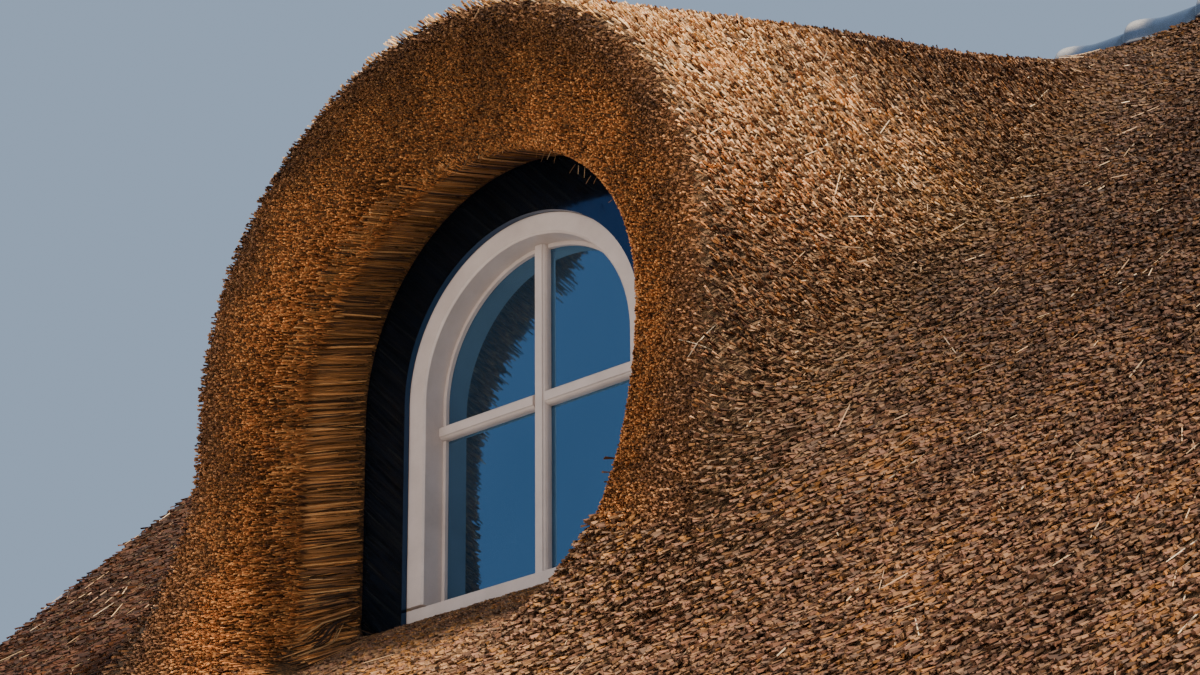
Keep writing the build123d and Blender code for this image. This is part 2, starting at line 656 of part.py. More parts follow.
with BuildPart() as rear_rib:
    with BuildSketch(front(1600)):
        with BuildLine():
            c = lining_c(1600)
            Line((RIB_R0, c), (RIB_R1, c))
            ThreePointArc((RIB_R1, c), (0, c + RIB_R1), (-RIB_R1, c))
            Line((-RIB_R1, c), (-RIB_R0, c))
            ThreePointArc((-RIB_R0, c), (0, c + RIB_R0), (RIB_R0, c))
        make_face()
    extrude(amount=RIB_T * sqrt(1 + RISE ** 2), dir=(0, 1, RISE))
    split(bisect_by=roof(-THATCH), keep=Keep.TOP)
rear_rib.part.label = "rear_rib"
export_step(rear_rib.part, "parts/rear_rib.step")

# ---- roof deck ----
S_LOW = (Y_LOW * R2)                      # perpendicular cut at the lower edge
OPEN_X = 500.0                            # half width of the opening in the deck
OPEN_S0, OPEN_S1 = SEAT_S + 71, 2400.0    # lower and upper end of the opening


def s_at(y, n):
    return (y + n / R2) * R2


with BuildPart() as right_deck:
    with BuildSketch(roof(-THATCH - DECK)):
        with BuildLine():
            Polyline((OPEN_X, S_LOW), (HALF_W, S_LOW), (HALF_W, s_at(Y_RIDGE, -THATCH)), (OPEN_X, s_at(Y_RIDGE, -THATCH)),
                     close=True)
        make_face()
    extrude(amount=DECK)
right_deck.part.label = "right_deck"
export_step(right_deck.part, "parts/right_deck.step")

with BuildPart() as left_deck:
    add(mirror(right_deck.part, about=Plane.YZ, mode=Mode.PRIVATE))
left_deck.part.label = "left_deck"
export_step(left_deck.part, "parts/left_deck.step")

with BuildPart() as lower_deck:
    with BuildSketch(roof(-THATCH - DECK)):
        with BuildLine():
            Polyline((-OPEN_X + 1, S_LOW), (OPEN_X - 1, S_LOW), (OPEN_X - 1, OPEN_S0), (-OPEN_X + 1, OPEN_S0), close=True)
        make_face()
    extrude(amount=DECK)
lower_deck.part.label = "lower_deck"
export_step(lower_deck.part, "parts/lower_deck.step")

with BuildPart() as upper_deck:
    with BuildSketch(roof(-THATCH - DECK)):
        with BuildLine():
            Polyline((-OPEN_X + 1, OPEN_S1), (OPEN_X - 1, OPEN_S1), (OPEN_X - 1, s_at(Y_RIDGE, -THATCH)),
                     (-OPEN_X + 1, s_at(Y_RIDGE, -THATCH)), close=True)
        make_face()
    extrude(amount=DECK)
upper_deck.part.label = "upper_deck"
export_step(upper_deck.part, "parts/upper_deck.step")

# ---- rafters, trimmers, headers ----
N0 = -THATCH - DECK
YB = Y_RIDGE - RAFTER_W - 0.5             # face of the ridge beam


def rafter_outline(s0):
    # side outline of a rafter from s0 up to the ridge beam, as (y, z)
    n1 = N0 - RAFTER_D
    pts = []
    for s, n in ((s0, N0), (s0, n1)):
        pts.append(((s - n) / R2, C0 + (s + n) / R2))
    pts.append((YB, YB + C0 + n1 * R2))
    pts.append((YB, YB + C0 + N0 * R2))
    return pts


TRIM_W = 2 * RAFTER_W
with BuildPart() as right_trimmer:
    with BuildSketch(side(OPEN_X)):
        with BuildLine():
            Polyline(*rafter_outline(S_LOW), close=True)
        make_face()
    extrude(amount=TRIM_W)
right_trimmer.part.label = "right_trimmer"
export_step(right_trimmer.part, "parts/right_trimmer.step")

with BuildPart() as left_trimmer:
    with BuildSketch(side(-OPEN_X - TRIM_W)):
        with BuildLine():
            Polyline(*rafter_outline(S_LOW), close=True)
        make_face()
    extrude(amount=TRIM_W)
left_trimmer.part.label = "left_trimmer"
export_step(left_trimmer.part, "parts/left_trimmer.step")

with BuildPart() as right_rafters:
    for x0 in (1260.0, 1883.0, 2506.0, HALF_W - RAFTER_W):
        with BuildSketch(side(x0)):
            with BuildLine():
                Polyline(*rafter_outline(S_LOW), close=True)
            make_face()
        extrude(amount=RAFTER_W)
right_rafters.part.label = "right_rafters"
export_step(right_rafters.part, "parts/right_rafters.step")

with BuildPart() as left_rafters:
    add(mirror(right_rafters.part, about=Plane.YZ, mode=Mode.PRIVATE))
left_rafters.part.label = "left_rafters"
export_step(left_rafters.part, "parts/left_rafters.step")

with BuildPart() as lower_header:
    with BuildSketch(roof(N0 - RAFTER_D)):
        with BuildLine():
            Polyline((-OPEN_X + 0.5, SEAT_S - 71), (OPEN_X - 0.5, SEAT_S - 71), (OPEN_X - 0.5, SEAT_S + 71),
                     (-OPEN_X + 0.5, SEAT_S + 71), close=True)
        make_face()
    extrude(amount=RAFTER_D)
lower_header.part.label = "lower_header"
export_step(lower_header.part, "parts/lower_header.step")

with BuildPart() as upper_header:
    with BuildSketch(roof(N0 - RAFTER_D)):
        with BuildLine():
            Polyline((-OPEN_X + 0.5, OPEN_S1), (OPEN_X - 0.5, OPEN_S1), (OPEN_X - 0.5, OPEN_S1 + 71),
                     (-OPEN_X + 0.5, OPEN_S1 + 71), close=True)
        make_face()
    extrude(amount=RAFTER_D)
upper_header.part.label = "upper_header"
export_step(upper_header.part, "parts/upper_header.step")

with BuildPart() as jack_rafters:
    for x0 in (-200.0 - RAFTER_W / 2, 200.0 - RAFTER_W / 2):
        with BuildSketch(side(x0)):
            with BuildLine():
                Polyline(*rafter_outline(OPEN_S1 + 71.5), close=True)
            make_face()
        extrude(amount=RAFTER_W)
        with BuildSketch(roof(N0 - RAFTER_D)):
            with BuildLine():
                Polyline((x0, S_LOW), (x0 + RAFTER_W, S_LOW), (x0 + RAFTER_W, SEAT_S - 71.5), (x0, SEAT_S - 71.5),
                         close=True)
            make_face()
        extrude(amount=RAFTER_D)
jack_rafters.part.label = "jack_rafters"
export_step(jack_rafters.part, "parts/jack_rafters.step")
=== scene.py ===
import bpy
import math
import numpy as np
from mathutils import Matrix, Vector


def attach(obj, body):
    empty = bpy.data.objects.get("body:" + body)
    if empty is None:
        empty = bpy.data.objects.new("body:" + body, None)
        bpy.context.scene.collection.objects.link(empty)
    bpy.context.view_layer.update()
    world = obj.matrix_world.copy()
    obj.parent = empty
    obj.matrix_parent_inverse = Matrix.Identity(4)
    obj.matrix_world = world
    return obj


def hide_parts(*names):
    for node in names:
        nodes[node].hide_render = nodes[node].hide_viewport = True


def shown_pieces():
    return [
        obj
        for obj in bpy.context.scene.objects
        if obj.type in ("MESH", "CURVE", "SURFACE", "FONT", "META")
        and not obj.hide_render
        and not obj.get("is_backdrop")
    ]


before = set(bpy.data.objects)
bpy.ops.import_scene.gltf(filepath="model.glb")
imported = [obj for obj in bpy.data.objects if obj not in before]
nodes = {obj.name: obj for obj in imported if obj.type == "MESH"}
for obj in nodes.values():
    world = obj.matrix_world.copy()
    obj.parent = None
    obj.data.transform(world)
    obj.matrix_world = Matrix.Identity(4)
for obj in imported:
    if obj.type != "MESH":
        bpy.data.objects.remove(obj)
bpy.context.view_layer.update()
rng = np.random.default_rng(11)

# ------------------------------------------------------------------
# The thatch surface, in window coordinates (mm): x right, y into the
# roof, z up, zero at the middle of the frame's lower front edge.
# ------------------------------------------------------------------
R2 = math.sqrt(2.0)
C0, THATCH, DECK, RAFTER_D = 80.0, 300.0, 18.0, 196.0
SEAT_S, SEAT_N = -201.0, -(THATCH + DECK + RAFTER_D)
WIN_Y = -(SEAT_S - SEAT_N) / R2
WIN_Z = -(C0 + (SEAT_S + SEAT_N) / R2)
SPRING = 747.0
TILT, SURF, SWELL = 0.9325, 190.0, 140.0
SLANT = math.hypot(1.0, TILT)
HALF_W, FIELD_X = 3200.0, 2300.0
Y_LOW, Y_TOP, Y_RIDGE, RIDGE_Z = -1460.0, 2653.0, 2779.0, 2665.0
R_HOOD, R_REV, RISE, HOOD_C, REV_C = 1060.0, 690.0, 0.315, 866.0, 755.0
FACE_Y, SPLAY, VALLEY, VALLEY_TOP, FOOT = -310.0, 0.33, 700.0, 300.0, 450.0
FLOOR_Z, REAR_Y, FLOOR_FALL = 2.0, -24.0, 165.0
DROP = THATCH * R2
ARRIS, LIP = 80.0, 60.0


def crest(y):
    return HOOD_C + RISE * y - 5e-5 * np.maximum(0.0, y - 900.0) ** 2


def roof_dist(x, y, z):
    wide = np.where(x < 900.0, 440.0, 560.0)
    swell = SWELL * np.exp(-((x - 900.0) / wide) ** 2 - ((y + 380.0) / 480.0) ** 2)
    return (z - TILT * y - SURF - swell) / SLANT


def hood_dist(x, y, z):
    c = crest(y)
    rho = np.where(z > c, np.hypot(x, z - c), np.abs(x))
    fo = rho - R_HOOD
    ff = (FACE_Y - SPLAY * (np.minimum(rho, R_HOOD + 200.0) - R_REV)) - y
    return fo, ff


def body(x, y, z):
    fr = roof_dist(x, y, z)
    fo, ff = hood_dist(x, y, z)
    k = ARRIS
    m = np.maximum(fo, ff)
    rnd = np.hypot(np.maximum(fo + k, 0), np.maximum(ff + k, 0)) - k
    h = np.where((fo > -k) & (ff > -k), rnd, m)
    w = np.clip((fo - ff + 400.0) / 800.0, 0, 1)
    w = w * w * (3 - 2 * w)
    v = VALLEY - (VALLEY - VALLEY_TOP) * np.clip((y - 300.0) / 2350.0, 0, 1)
    r = FOOT + (v - FOOT) * w
    un = np.maximum(r, np.minimum(fr, h)) - np.hypot(np.maximum(r - fr, 0), np.maximum(r - h, 0))
    return np.where((fr < r) & (h < r), un, np.minimum(fr, h))


def recess(x, y, z):
    # negative in the open recess in front of the window
    t = np.clip((REAR_Y - y) / (REAR_Y - FACE_Y), 0, 3)
    half = R_REV - 10 * (1 - np.minimum(t, 1))
    rc = 45 + 120 * t
    fl = FLOOR_Z - FLOOR_FALL * t
    c = REV_C + RISE * np.minimum(y, 0.0)
    x = x / (1 + 0.05 * np.minimum(t, 1.4))
    qx = np.abs(x) - (half - rc)
    qz = fl + rc - z
    low = np.where((qx > 0) & (qz > 0), np.hypot(np.maximum(qx, 0), np.maximum(qz, 0)) - rc, np.maximum(qx, qz) - rc)
    up = np.hypot(x, z - c) - half
    return np.where(z > c, up, low)


def F(x, y, z):
    b = body(x, y, z)
    o = -recess(x, y, z)
    k = LIP
    m = np.maximum(b, o)
    rnd = np.hypot(np.maximum(b + k, 0), np.maximum(o + k, 0)) - k
    return np.where((b > -k) & (o > -k), rnd, m)


def normal_at(p, e=4.0):
    x, y, z = p[:, 0], p[:, 1], p[:, 2]
    g = np.stack([F(x + e, y, z) - F(x - e, y, z), F(x, y + e, z) - F(x, y - e, z), F(x, y, z + e) - F(x, y, z - e)], 1)
    return g / (np.linalg.norm(g, axis=1, keepdims=True) + 1e-9)


def settle(p, times=3):
    # moves points onto the surface
    for _ in range(times):
        n = normal_at(p)
        p = p - n * F(p[:, 0], p[:, 1], p[:, 2])[:, None]
    return p


def to_part(p):
    # window coordinates in mm to the part's frame in metres
    return (np.asarray(p, float) + np.array([0.0, WIN_Y, WIN_Z])) / 1000.0


def smooth(t, a, b):
    t = np.clip((t - a) / (b - a), 0, 1)
    return t * t * (3 - 2 * t)


def unit(v):
    return v / (np.linalg.norm(v, axis=1, keepdims=True) + 1e-12)


# ------------------------------------------------------------------
# meshes
# ------------------------------------------------------------------
def new_mesh(name, verts, corners, sizes, mat, smooth_faces=False, attrs=None, colour=None):
    # smooth_faces is one value, or one for each face
    me = bpy.data.meshes.new(name)
    verts = np.asarray(verts, np.float32)
    corners = np.asarray(corners, np.int32)
    sizes = np.asarray(sizes, np.int32)
    me.vertices.add(len(verts))
    me.vertices.foreach_set("co", verts.ravel())
    me.loops.add(len(corners))
    me.loops.foreach_set("vertex_index", corners)
    me.polygons.add(len(sizes))
    starts = np.concatenate([[0], np.cumsum(sizes)[:-1]]).astype(np.int32)
    me.polygons.foreach_set("loop_start", starts)
    me.polygons.foreach_set("loop_total", sizes)
    me.polygons.foreach_set("use_smooth", np.broadcast_to(smooth_faces, len(sizes)).astype(bool))
    for key, val in (attrs or {}).items():
        a = me.attributes.new(key, "FLOAT", "POINT")
        a.data.foreach_set("value", np.asarray(val, np.float32))
    if colour is not None:
        a = me.color_attributes.new("tint", "FLOAT_COLOR", "POINT")
        c = np.ones((len(verts), 4), np.float32)
        c[:, :3] = colour
        a.data.foreach_set("color", c.ravel())
    me.update(calc_edges=True)
    me.validate()
    ob = bpy.data.objects.new(name, me)
    bpy.context.scene.collection.objects.link(ob)
    me.materials.append(mat)
    return ob


# ------------------------------------------------------------------
# materials
# ------------------------------------------------------------------
class Nodes:
    def __init__(self, name):
        self.mat = bpy.data.materials.new(name)
        self.mat.use_nodes = True
        self.t = self.mat.node_tree
        self.bsdf = self.t.nodes["Principled BSDF"]

    def add(self, kind, **kw):
        n = self.t.nodes.new(kind)
        for k, v in kw.items():
            setattr(n, k, v)
        return n

    def link(self, a, b):
        self.t.links.new(a, b)

    def coords(self, scale=(1, 1, 1), rot=(0, 0, 0)):
        c = self.add("ShaderNodeTexCoord")
        m = self.add("ShaderNodeMapping")
        m.inputs["Scale"].default_value = scale
        m.inputs["Rotation"].default_value = rot
        if rot == (0, 0, 0):
            self.link(c.outputs["Object"], m.inputs["Vector"])
            return m.outputs["Vector"]
        r = self.add("ShaderNodeMapping")
        r.inputs["Rotation"].default_value = rot
        m.inputs["Rotation"].default_value = (0, 0, 0)
        self.link(c.outputs["Object"], r.inputs["Vector"])
        self.link(r.outputs["Vector"], m.inputs["Vector"])
        return m.outputs["Vector"]

    def noise(self, vec, scale, detail=2.0, rough=0.5, distortion=0.0):
        n = self.add("ShaderNodeTexNoise")
        n.inputs["Scale"].default_value = scale
        n.inputs["Detail"].default_value = detail
        n.inputs["Roughness"].default_value = rough
        n.inputs["Distortion"].default_value = distortion
        self.link(vec, n.inputs["Vector"])
        return n.outputs["Fac"]

    def ramp(self, fac, stops, interp="LINEAR"):
        r = self.add("ShaderNodeValToRGB")
        r.color_ramp.interpolation = interp
        e = r.color_ramp.elements
        e[0].position, e[0].color = stops[0][0], (*stops[0][1], 1)
        e[1].position, e[1].color = stops[-1][0], (*stops[-1][1], 1)
        for pos, col in stops[1:-1]:
            x = e.new(pos)
            x.color = (*col, 1)
        self.link(fac, r.inputs["Fac"])
        return r.outputs["Color"]

    def mix(self, fac, a, b, blend="MIX"):
        m = self.add("ShaderNodeMix", data_type="RGBA", blend_type=blend)
        for sock, val in ((m.inputs["Factor"], fac), (m.inputs["A"], None), (m.inputs["B"], None)):
            if val is not None:
                if hasattr(val, "is_output") or hasattr(val, "node"):
                    self.link(val, sock)
                else:
                    sock.default_value = val
        for sock, val in ((m.inputs[6], a), (m.inputs[7], b)):
            if hasattr(val, "node"):
                self.link(val, sock)
            else:
                sock.default_value = (*val, 1)
        return m.outputs[2]

    def math(self, op, a, b=0.0):
        m = self.add("ShaderNodeMath", operation=op)
        for i, v in enumerate((a, b)):
            if hasattr(v, "node"):
                self.link(v, m.inputs[i])
            else:
                m.inputs[i].default_value = v
        return m.outputs[0]

    def bump(self, height, strength, distance):
        b = self.add("ShaderNodeBump")
        b.inputs["Strength"].default_value = strength
        b.inputs["Distance"].default_value = distance
        self.link(height, b.inputs["Height"])
        self.link(b.outputs["Normal"], self.bsdf.inputs["Normal"])
        return b

    def set(self, **kw):
        for k, v in kw.items():
            s = self.bsdf.inputs[k.replace("_", " ")]
            if hasattr(v, "node"):
                self.link(v, s)
            else:
                s.default_value = v


FALL = (math.atan(TILT), 0, 0)


def thatch_skin_material():
    # the thatch between and under the modelled reeds: stems, with the gaps between them painted dark as shade
    m = Nodes("thatch_skin")
    # along the fall line
    v = m.coords(scale=(1, 0.22, 1), rot=(-math.atan(TILT), 0, 0))
    fleck = m.noise(v, 105.0, 2.5, 0.62)
    broad = m.noise(m.coords(), 2.4, 3.0, 0.55)
    roof = m.ramp(fleck, [(0.30, (0.042, 0.022, 0.010)), (0.47, (0.115, 0.064, 0.031)), (0.60, (0.20, 0.118, 0.060)),
                          (0.75, (0.32, 0.200, 0.108))])
    # cut ends on the front face, nearly black in the gaps as painted shade
    f1 = m.noise(m.coords(), 150.0, 2.0, 0.6)
    front = m.ramp(f1, [(0.30, (0.014, 0.007, 0.003)), (0.50, (0.14, 0.058, 0.018)), (0.70, (0.36, 0.16, 0.052))])
    # stems in the reveal, dark between them as painted shade
    f2 = m.noise(m.coords(scale=(1, 0.05, 1)), 190.0, 2.0, 0.6)
    rev = m.ramp(f2, [(0.34, (0.012, 0.006, 0.002)), (0.52, (0.10, 0.045, 0.014)), (0.72, (0.26, 0.125, 0.040))])
    a1 = m.add("ShaderNodeAttribute", attribute_name="front")
    a2 = m.add("ShaderNodeAttribute", attribute_name="reveal")
    c = m.mix(a1.outputs["Fac"], roof, front)
    c = m.mix(a2.outputs["Fac"], c, rev)
    tone = m.ramp(broad, [(0.3, (0.72, 0.70, 0.70)), (0.7, (1.12, 1.08, 1.0))])
    c = m.mix(1.0, c, tone, "MULTIPLY")
    m.set(Base_Color=c, Roughness=0.85)
    m.bsdf.inputs["Specular IOR Level"].default_value = 0.25
    m.bump(m.math("ADD", fleck, f1), 1.0, 0.012)
    return m.mat


def reed_material(name, rough=0.62, spec=0.35):
    # single reeds: colour from each reed's tint, which also carries painted light and shade, with fine streaks
    m = Nodes(name)
    t = m.add("ShaderNodeVertexColor", layer_name="tint")
    v = m.coords()
    n1 = m.noise(v, 420.0, 2.0, 0.6)
    n2 = m.noise(v, 9.0, 3.0, 0.55)
    s1 = m.ramp(n1, [(0.28, (0.66, 0.62, 0.58)), (0.72, (1.18, 1.16, 1.12))])
    s2 = m.ramp(n2, [(0.30, (0.86, 0.84, 0.82)), (0.70, (1.10, 1.07, 1.02))])
    c = m.mix(1.0, t.outputs["Color"], s1, "MULTIPLY")
    c = m.mix(1.0, c, s2, "MULTIPLY")
    r = m.ramp(n1, [(0.2, (rough - 0.10,) * 3), (0.8, (rough + 0.12,) * 3)])
    m.set(Base_Color=c, Roughness=r)
    m.bsdf.inputs["Specular IOR Level"].default_value = spec
    m.bump(n1, 0.35, 0.002)
    return m.mat


def wood_material(name, dark, light, along=(1, 0, 0), ring=38.0, rough=0.6):
    # planed softwood, with grain along one axis
    m = Nodes(name)
    sc = tuple(0.06 if a else 1.0 for a in along)
    v = m.coords(scale=sc)
    g1 = m.noise(v, ring, 3.0, 0.6, 0.6)
    w = m.add("ShaderNodeTexWave", wave_type="BANDS", bands_direction="DIAGONAL", wave_profile="SAW")
    w.inputs["Scale"].default_value = 9.0
    w.inputs["Distortion"].default_value = 5.0
    w.inputs["Detail"].default_value = 3.0
    w.inputs["Detail Scale"].default_value = 1.6
    m.link(v, w.inputs["Vector"])
    fine = m.noise(v, 260.0, 2.0, 0.6)
    c = m.ramp(w.outputs["Fac"], [(0.0, light), (0.72, tuple((a * 2 + b) / 3 for a, b in zip(light, dark))), (1.0, dark)])
    c2 = m.ramp(g1, [(0.3, (0.84, 0.82, 0.80)), (0.7, (1.08, 1.06, 1.04))])
    c = m.mix(1.0, c, c2, "MULTIPLY")
    c3 = m.ramp(fine, [(0.3, (0.88, 0.87, 0.86)), (0.7, (1.06, 1.05, 1.04))])
    c = m.mix(1.0, c, c3, "MULTIPLY")
    m.set(Base_Color=c, Roughness=rough)
    m.bump(fine, 0.25, 0.001)
    return m.mat


def paint_material():
    # white satin paint: faint brush strokes, specks of dust
    m = Nodes("white_paint")
    v = m.coords()
    cloud = m.noise(v, 7.0, 4.0, 0.6)
    speck = m.noise(v, 320.0, 2.0, 0.5)
    # greyer and warmer than white: painted shade on the white paint
    c = m.ramp(cloud, [(0.28, (0.462, 0.374, 0.334)), (0.55, (0.542, 0.444, 0.401)), (0.8, (0.594, 0.492, 0.449))])
    s = m.ramp(speck, [(0.25, (0.93, 0.92, 0.91)), (0.5, (1.0, 1.0, 1.0))])
    c = m.mix(1.0, c, s, "MULTIPLY")
    r = m.ramp(cloud, [(0.3, (0.44,) * 3), (0.7, (0.33,) * 3)])
    m.set(Base_Color=c, Roughness=r)
    strokes = m.noise(m.coords(scale=(1, 1, 0.15)), 190.0, 2.0, 0.5)
    m.bump(strokes, 0.12, 0.0006)
    return m.mat


def gloss_board_material():
    # high-gloss blue-black paint, faintly uneven, with a little settled dust; the strong blue of its gloss is a painted
    # sky reflection
    m = Nodes("black_gloss")
    v = m.coords()
    n = m.noise(v, 26.0, 3.0, 0.6)
    d = m.noise(v, 500.0, 2.0, 0.5)
    c = m.ramp(n, [(0.3, (0.0012, 0.0016, 0.0026)), (0.7, (0.0024, 0.0032, 0.0055))])
    dust = m.ramp(d, [(0.66, (0, 0, 0)), (0.84, (1, 1, 1))])
    c = m.mix(m.math("MULTIPLY", dust, 0.10), c, (0.06, 0.055, 0.05))
    r = m.ramp(n, [(0.3, (0.07,) * 3), (0.7, (0.13,) * 3)])
    m.set(Base_Color=c, Roughness=r)
    m.bsdf.inputs["IOR"].default_value = 1.9
    # blue specular tint: painted reflection of a blue sky
    m.bsdf.inputs["Specular Tint"].default_value = (0.09, 0.38, 1.0, 1)
    m.bump(m.noise(v, 14.0, 2.0, 0.5), 0.03, 0.001)
    return m.mat


def glass_material():
    # sealed units over a dark room: the dark blue base colour is painted shade of the room behind, tinged with painted
    # sky reflection, and the blue gloss is a painted sky reflection; with the faint ripple of its two sheets
    m = Nodes("window_glass")
    v = m.coords()
    n = m.noise(v, 1.6, 2.0, 0.5)
    c = m.ramp(n, [(0.25, (0.006, 0.014, 0.026)), (0.5, (0.010, 0.022, 0.040)), (0.8, (0.014, 0.030, 0.055))])
    d = m.ramp(m.noise(v, 240.0, 2.0, 0.6), [(0.66, (0, 0, 0)), (0.86, (1, 1, 1))])
    c = m.mix(m.math("MULTIPLY", d, 0.06), c, (0.35, 0.36, 0.36))
    m.set(Base_Color=c, Roughness=m.ramp(n, [(0.3, (0.02,) * 3), (0.7, (0.05,) * 3)]))
    m.bsdf.inputs["IOR"].default_value = 3.4
    # high IOR and blue specular tint: painted sky reflection
    m.bsdf.inputs["Specular Tint"].default_value = (0.27, 0.60, 1.0, 1)
    m.bump(m.noise(v, 3.0, 1.0, 0.4), 0.05, 0.004)
    return m.mat


def tile_material():
    m = Nodes("ridge_tile_glaze")
    v = m.coords()
    n = m.noise(v, 11.0, 4.0, 0.6)
    f = m.noise(v, 150.0, 2.0, 0.55)
    c = m.ramp(n, [(0.28, (0.007, 0.016, 0.038)), (0.55, (0.012, 0.027, 0.066)), (0.80, (0.026, 0.048, 0.098))])
    s = m.ramp(f, [(0.25, (0.80, 0.80, 0.82)), (0.7, (1.12, 1.12, 1.12))])
    c = m.mix(1.0, c, s, "MULTIPLY")
    # painted highlight: pale cream on the crests of the collars, where the glaze catches the light
    painted_highlight = m.add("ShaderNodeVertexColor", layer_name="tint").outputs["Color"]
    highlight_noise = m.ramp(m.noise(v, 30.0, 3.0, 0.6), [(0.25, (0.70,) * 3), (0.6, (1.0,) * 3)])
    c = m.mix(m.mix(1.0, painted_highlight, highlight_noise, "MULTIPLY"), c, m.ramp(f, [(0.3, (0.48, 0.43, 0.36)), (0.7, (0.66, 0.60, 0.51))]))
    m.set(Base_Color=c, Roughness=m.ramp(f, [(0.3, (0.24,) * 3), (0.7, (0.36,) * 3)]))
    m.bsdf.inputs["IOR"].default_value = 2.0
    m.bsdf.inputs["Coat Weight"].default_value = 0.7
    m.bsdf.inputs["Coat Roughness"].default_value = 0.12
    m.bump(n, 0.22, 0.004)
    return m.mat


def mortar_material():
    m = Nodes("mortar")
    v = m.coords()
    n = m.noise(v, 34.0, 4.0, 0.65)
    f = m.noise(v, 260.0, 2.0, 0.6)
    c = m.ramp(n, [(0.25, (0.20, 0.185, 0.165)), (0.6, (0.36, 0.34, 0.31)), (0.85, (0.47, 0.45, 0.42))])
    s = m.ramp(f, [(0.25, (0.78, 0.77, 0.75)), (0.7, (1.1, 1.1, 1.1))])
    m.set(Base_Color=m.mix(1.0, c, s, "MULTIPLY"), Roughness=0.92)
    m.bump(m.math("ADD", n, f), 0.6, 0.006)
    return m.mat


SKIN = thatch_skin_material()
REED = reed_material("reed", 0.66, 0.20)
REED_END = reed_material("reed_ends", 0.76, 0.15)
STEM = reed_material("reed_stems", 0.50, 0.35)
PAINT, BLACK, GLASS, TILE, MORTAR = paint_material(), gloss_board_material(), glass_material(), tile_material(), mortar_material()
PINE_X = wood_material("timber_along_ridge", (0.30, 0.165, 0.075), (0.60, 0.42, 0.235), (1, 0, 0))
PINE_S = wood_material("timber_up_slope", (0.29, 0.16, 0.072), (0.585, 0.41, 0.23), (0, 1, 0))
PINE_Z = wood_material("timber_upright", (0.30, 0.165, 0.075), (0.60, 0.42, 0.235), (0, 0, 1))
PLY = wood_material("boarding", (0.34, 0.215, 0.11), (0.61, 0.45, 0.27), (1, 0, 0), 20.0, 0.66)

FINISH = {}
for n in ("ridge_beam", "lower_header", "upper_header", "window_upstand", "front_rib", "middle_rib", "rear_rib", "arch_head"):
    FINISH[n] = PINE_X
for n in ("right_trimmer", "left_trimmer", "right_rafters", "left_rafters", "jack_rafters"):
    FINISH[n] = PINE_S
for n in ("right_window_post", "left_window_post"):
    FINISH[n] = PINE_Z
for n in ("bottom_rail", "right_jamb", "left_jamb", "right_arch", "left_arch", "mullion", "transom", "glazing_beads",
          "window_board"):
    FINISH[n] = PAINT
for n in ("upper_right_pane", "upper_left_pane", "lower_right_pane", "lower_left_pane"):
    FINISH[n] = GLASS
for n in ("crown_boarding", "right_cheek_boarding", "left_cheek_boarding", "right_deck", "left_deck", "lower_deck",
          "upper_deck"):
    FINISH[n] = PLY
FINISH["surround_board"] = BLACK
FINISH["ridge_bedding"] = MORTAR
FINISH["ridge_tiles"] = TILE
for n, mat in FINISH.items():
    ob = nodes[n]
    ob.data.materials.clear()
    ob.data.materials.append(mat)
for n in ("ridge_thatch",):
    nodes[n].data.materials.clear()
    nodes[n].data.materials.append(SKIN)


# ------------------------------------------------------------------
# thatch skins: radial contours round the window
# ------------------------------------------------------------------
Y_EAVE = (2 * Y_LOW + C0 - SURF) / (1 + TILT)
A_TOP = math.atan2(TILT * Y_TOP + SURF - SPRING, FIELD_X)
A_LOW = math.atan2(TILT * Y_EAVE + SURF - SPRING, FIELD_X)
A_CROWN = math.atan2(TILT * Y_TOP + SURF - SPRING, FIELD_X - 160.0)
A_APRON = math.atan2(TILT * Y_EAVE + SURF - SPRING, FIELD_X - 160.0)


def contours(A, k1=76, k2=46):
    ca, sa = np.cos(A), np.sin(A)

    def f(r, y):
        return F(r * ca, y, SPRING + r * sa)

    lo, hi = np.full(len(A), 100.0), np.full(len(A), 1500.0)
    for _ in range(40):
        m = (lo + hi) / 2
        inside = recess(m * ca, REAR_Y, SPRING + m * sa) < 0
        lo, hi = np.where(inside, m, lo), np.where(inside, hi, m)
    r, y = (lo + hi) / 2, np.full(len(A), REAR_Y)
    rs, ys = [r.copy()], [y.copy()]
    e = 2.0
    steps = [10.0] * 130 + [20.0] * 40 + [34.0] * 120
    for h in steps:
        for sub in range(3):
            gr = (f(r + e, y) - f(r - e, y)) / (2 * e)
            gy = (f(r, y + e) - f(r, y - e)) / (2 * e)
            g2 = gr * gr + gy * gy + 1e-9
            if sub == 0:
                g = np.sqrt(g2)
                r, y = r - gy / g * h, y + gr / g * h
            else:
                d = f(r, y)
                r, y = r - np.clip(d * gr / g2, -8, 8), y - np.clip(d * gy / g2, -8, 8)
        rs.append(r.copy())
        ys.append(y.copy())
    Rr, Yy = np.stack(rs, 1), np.stack(ys, 1)
    X, Z = Rr * ca[:, None], SPRING + Rr * sa[:, None]
    B = np.maximum(np.maximum(np.abs(X) - FIELD_X, Yy - Y_TOP), (2 * Y_LOW + C0) - (Yy + Z))
    S = np.concatenate([np.zeros((len(A), 1)), np.cumsum(np.hypot(np.diff(Rr), np.diff(Yy)), 1)], 1)
    out = []
    for i in range(len(A)):
        b = B[i]
        k = int(np.argmax(b > 0))
        t = -b[k - 1] / (b[k] - b[k - 1])
        send = S[i, k - 1] + t * (S[i, k] - S[i, k - 1])
        s1 = min(1080.0, 0.62 * send)
        s = np.concatenate([np.linspace(0, s1, k1, endpoint=False), np.linspace(s1, send, k2)])
        out.append(np.stack([np.interp(s, S[i], Rr[i]), np.interp(s, S[i], Yy[i])], 1))
    return np.array(out)


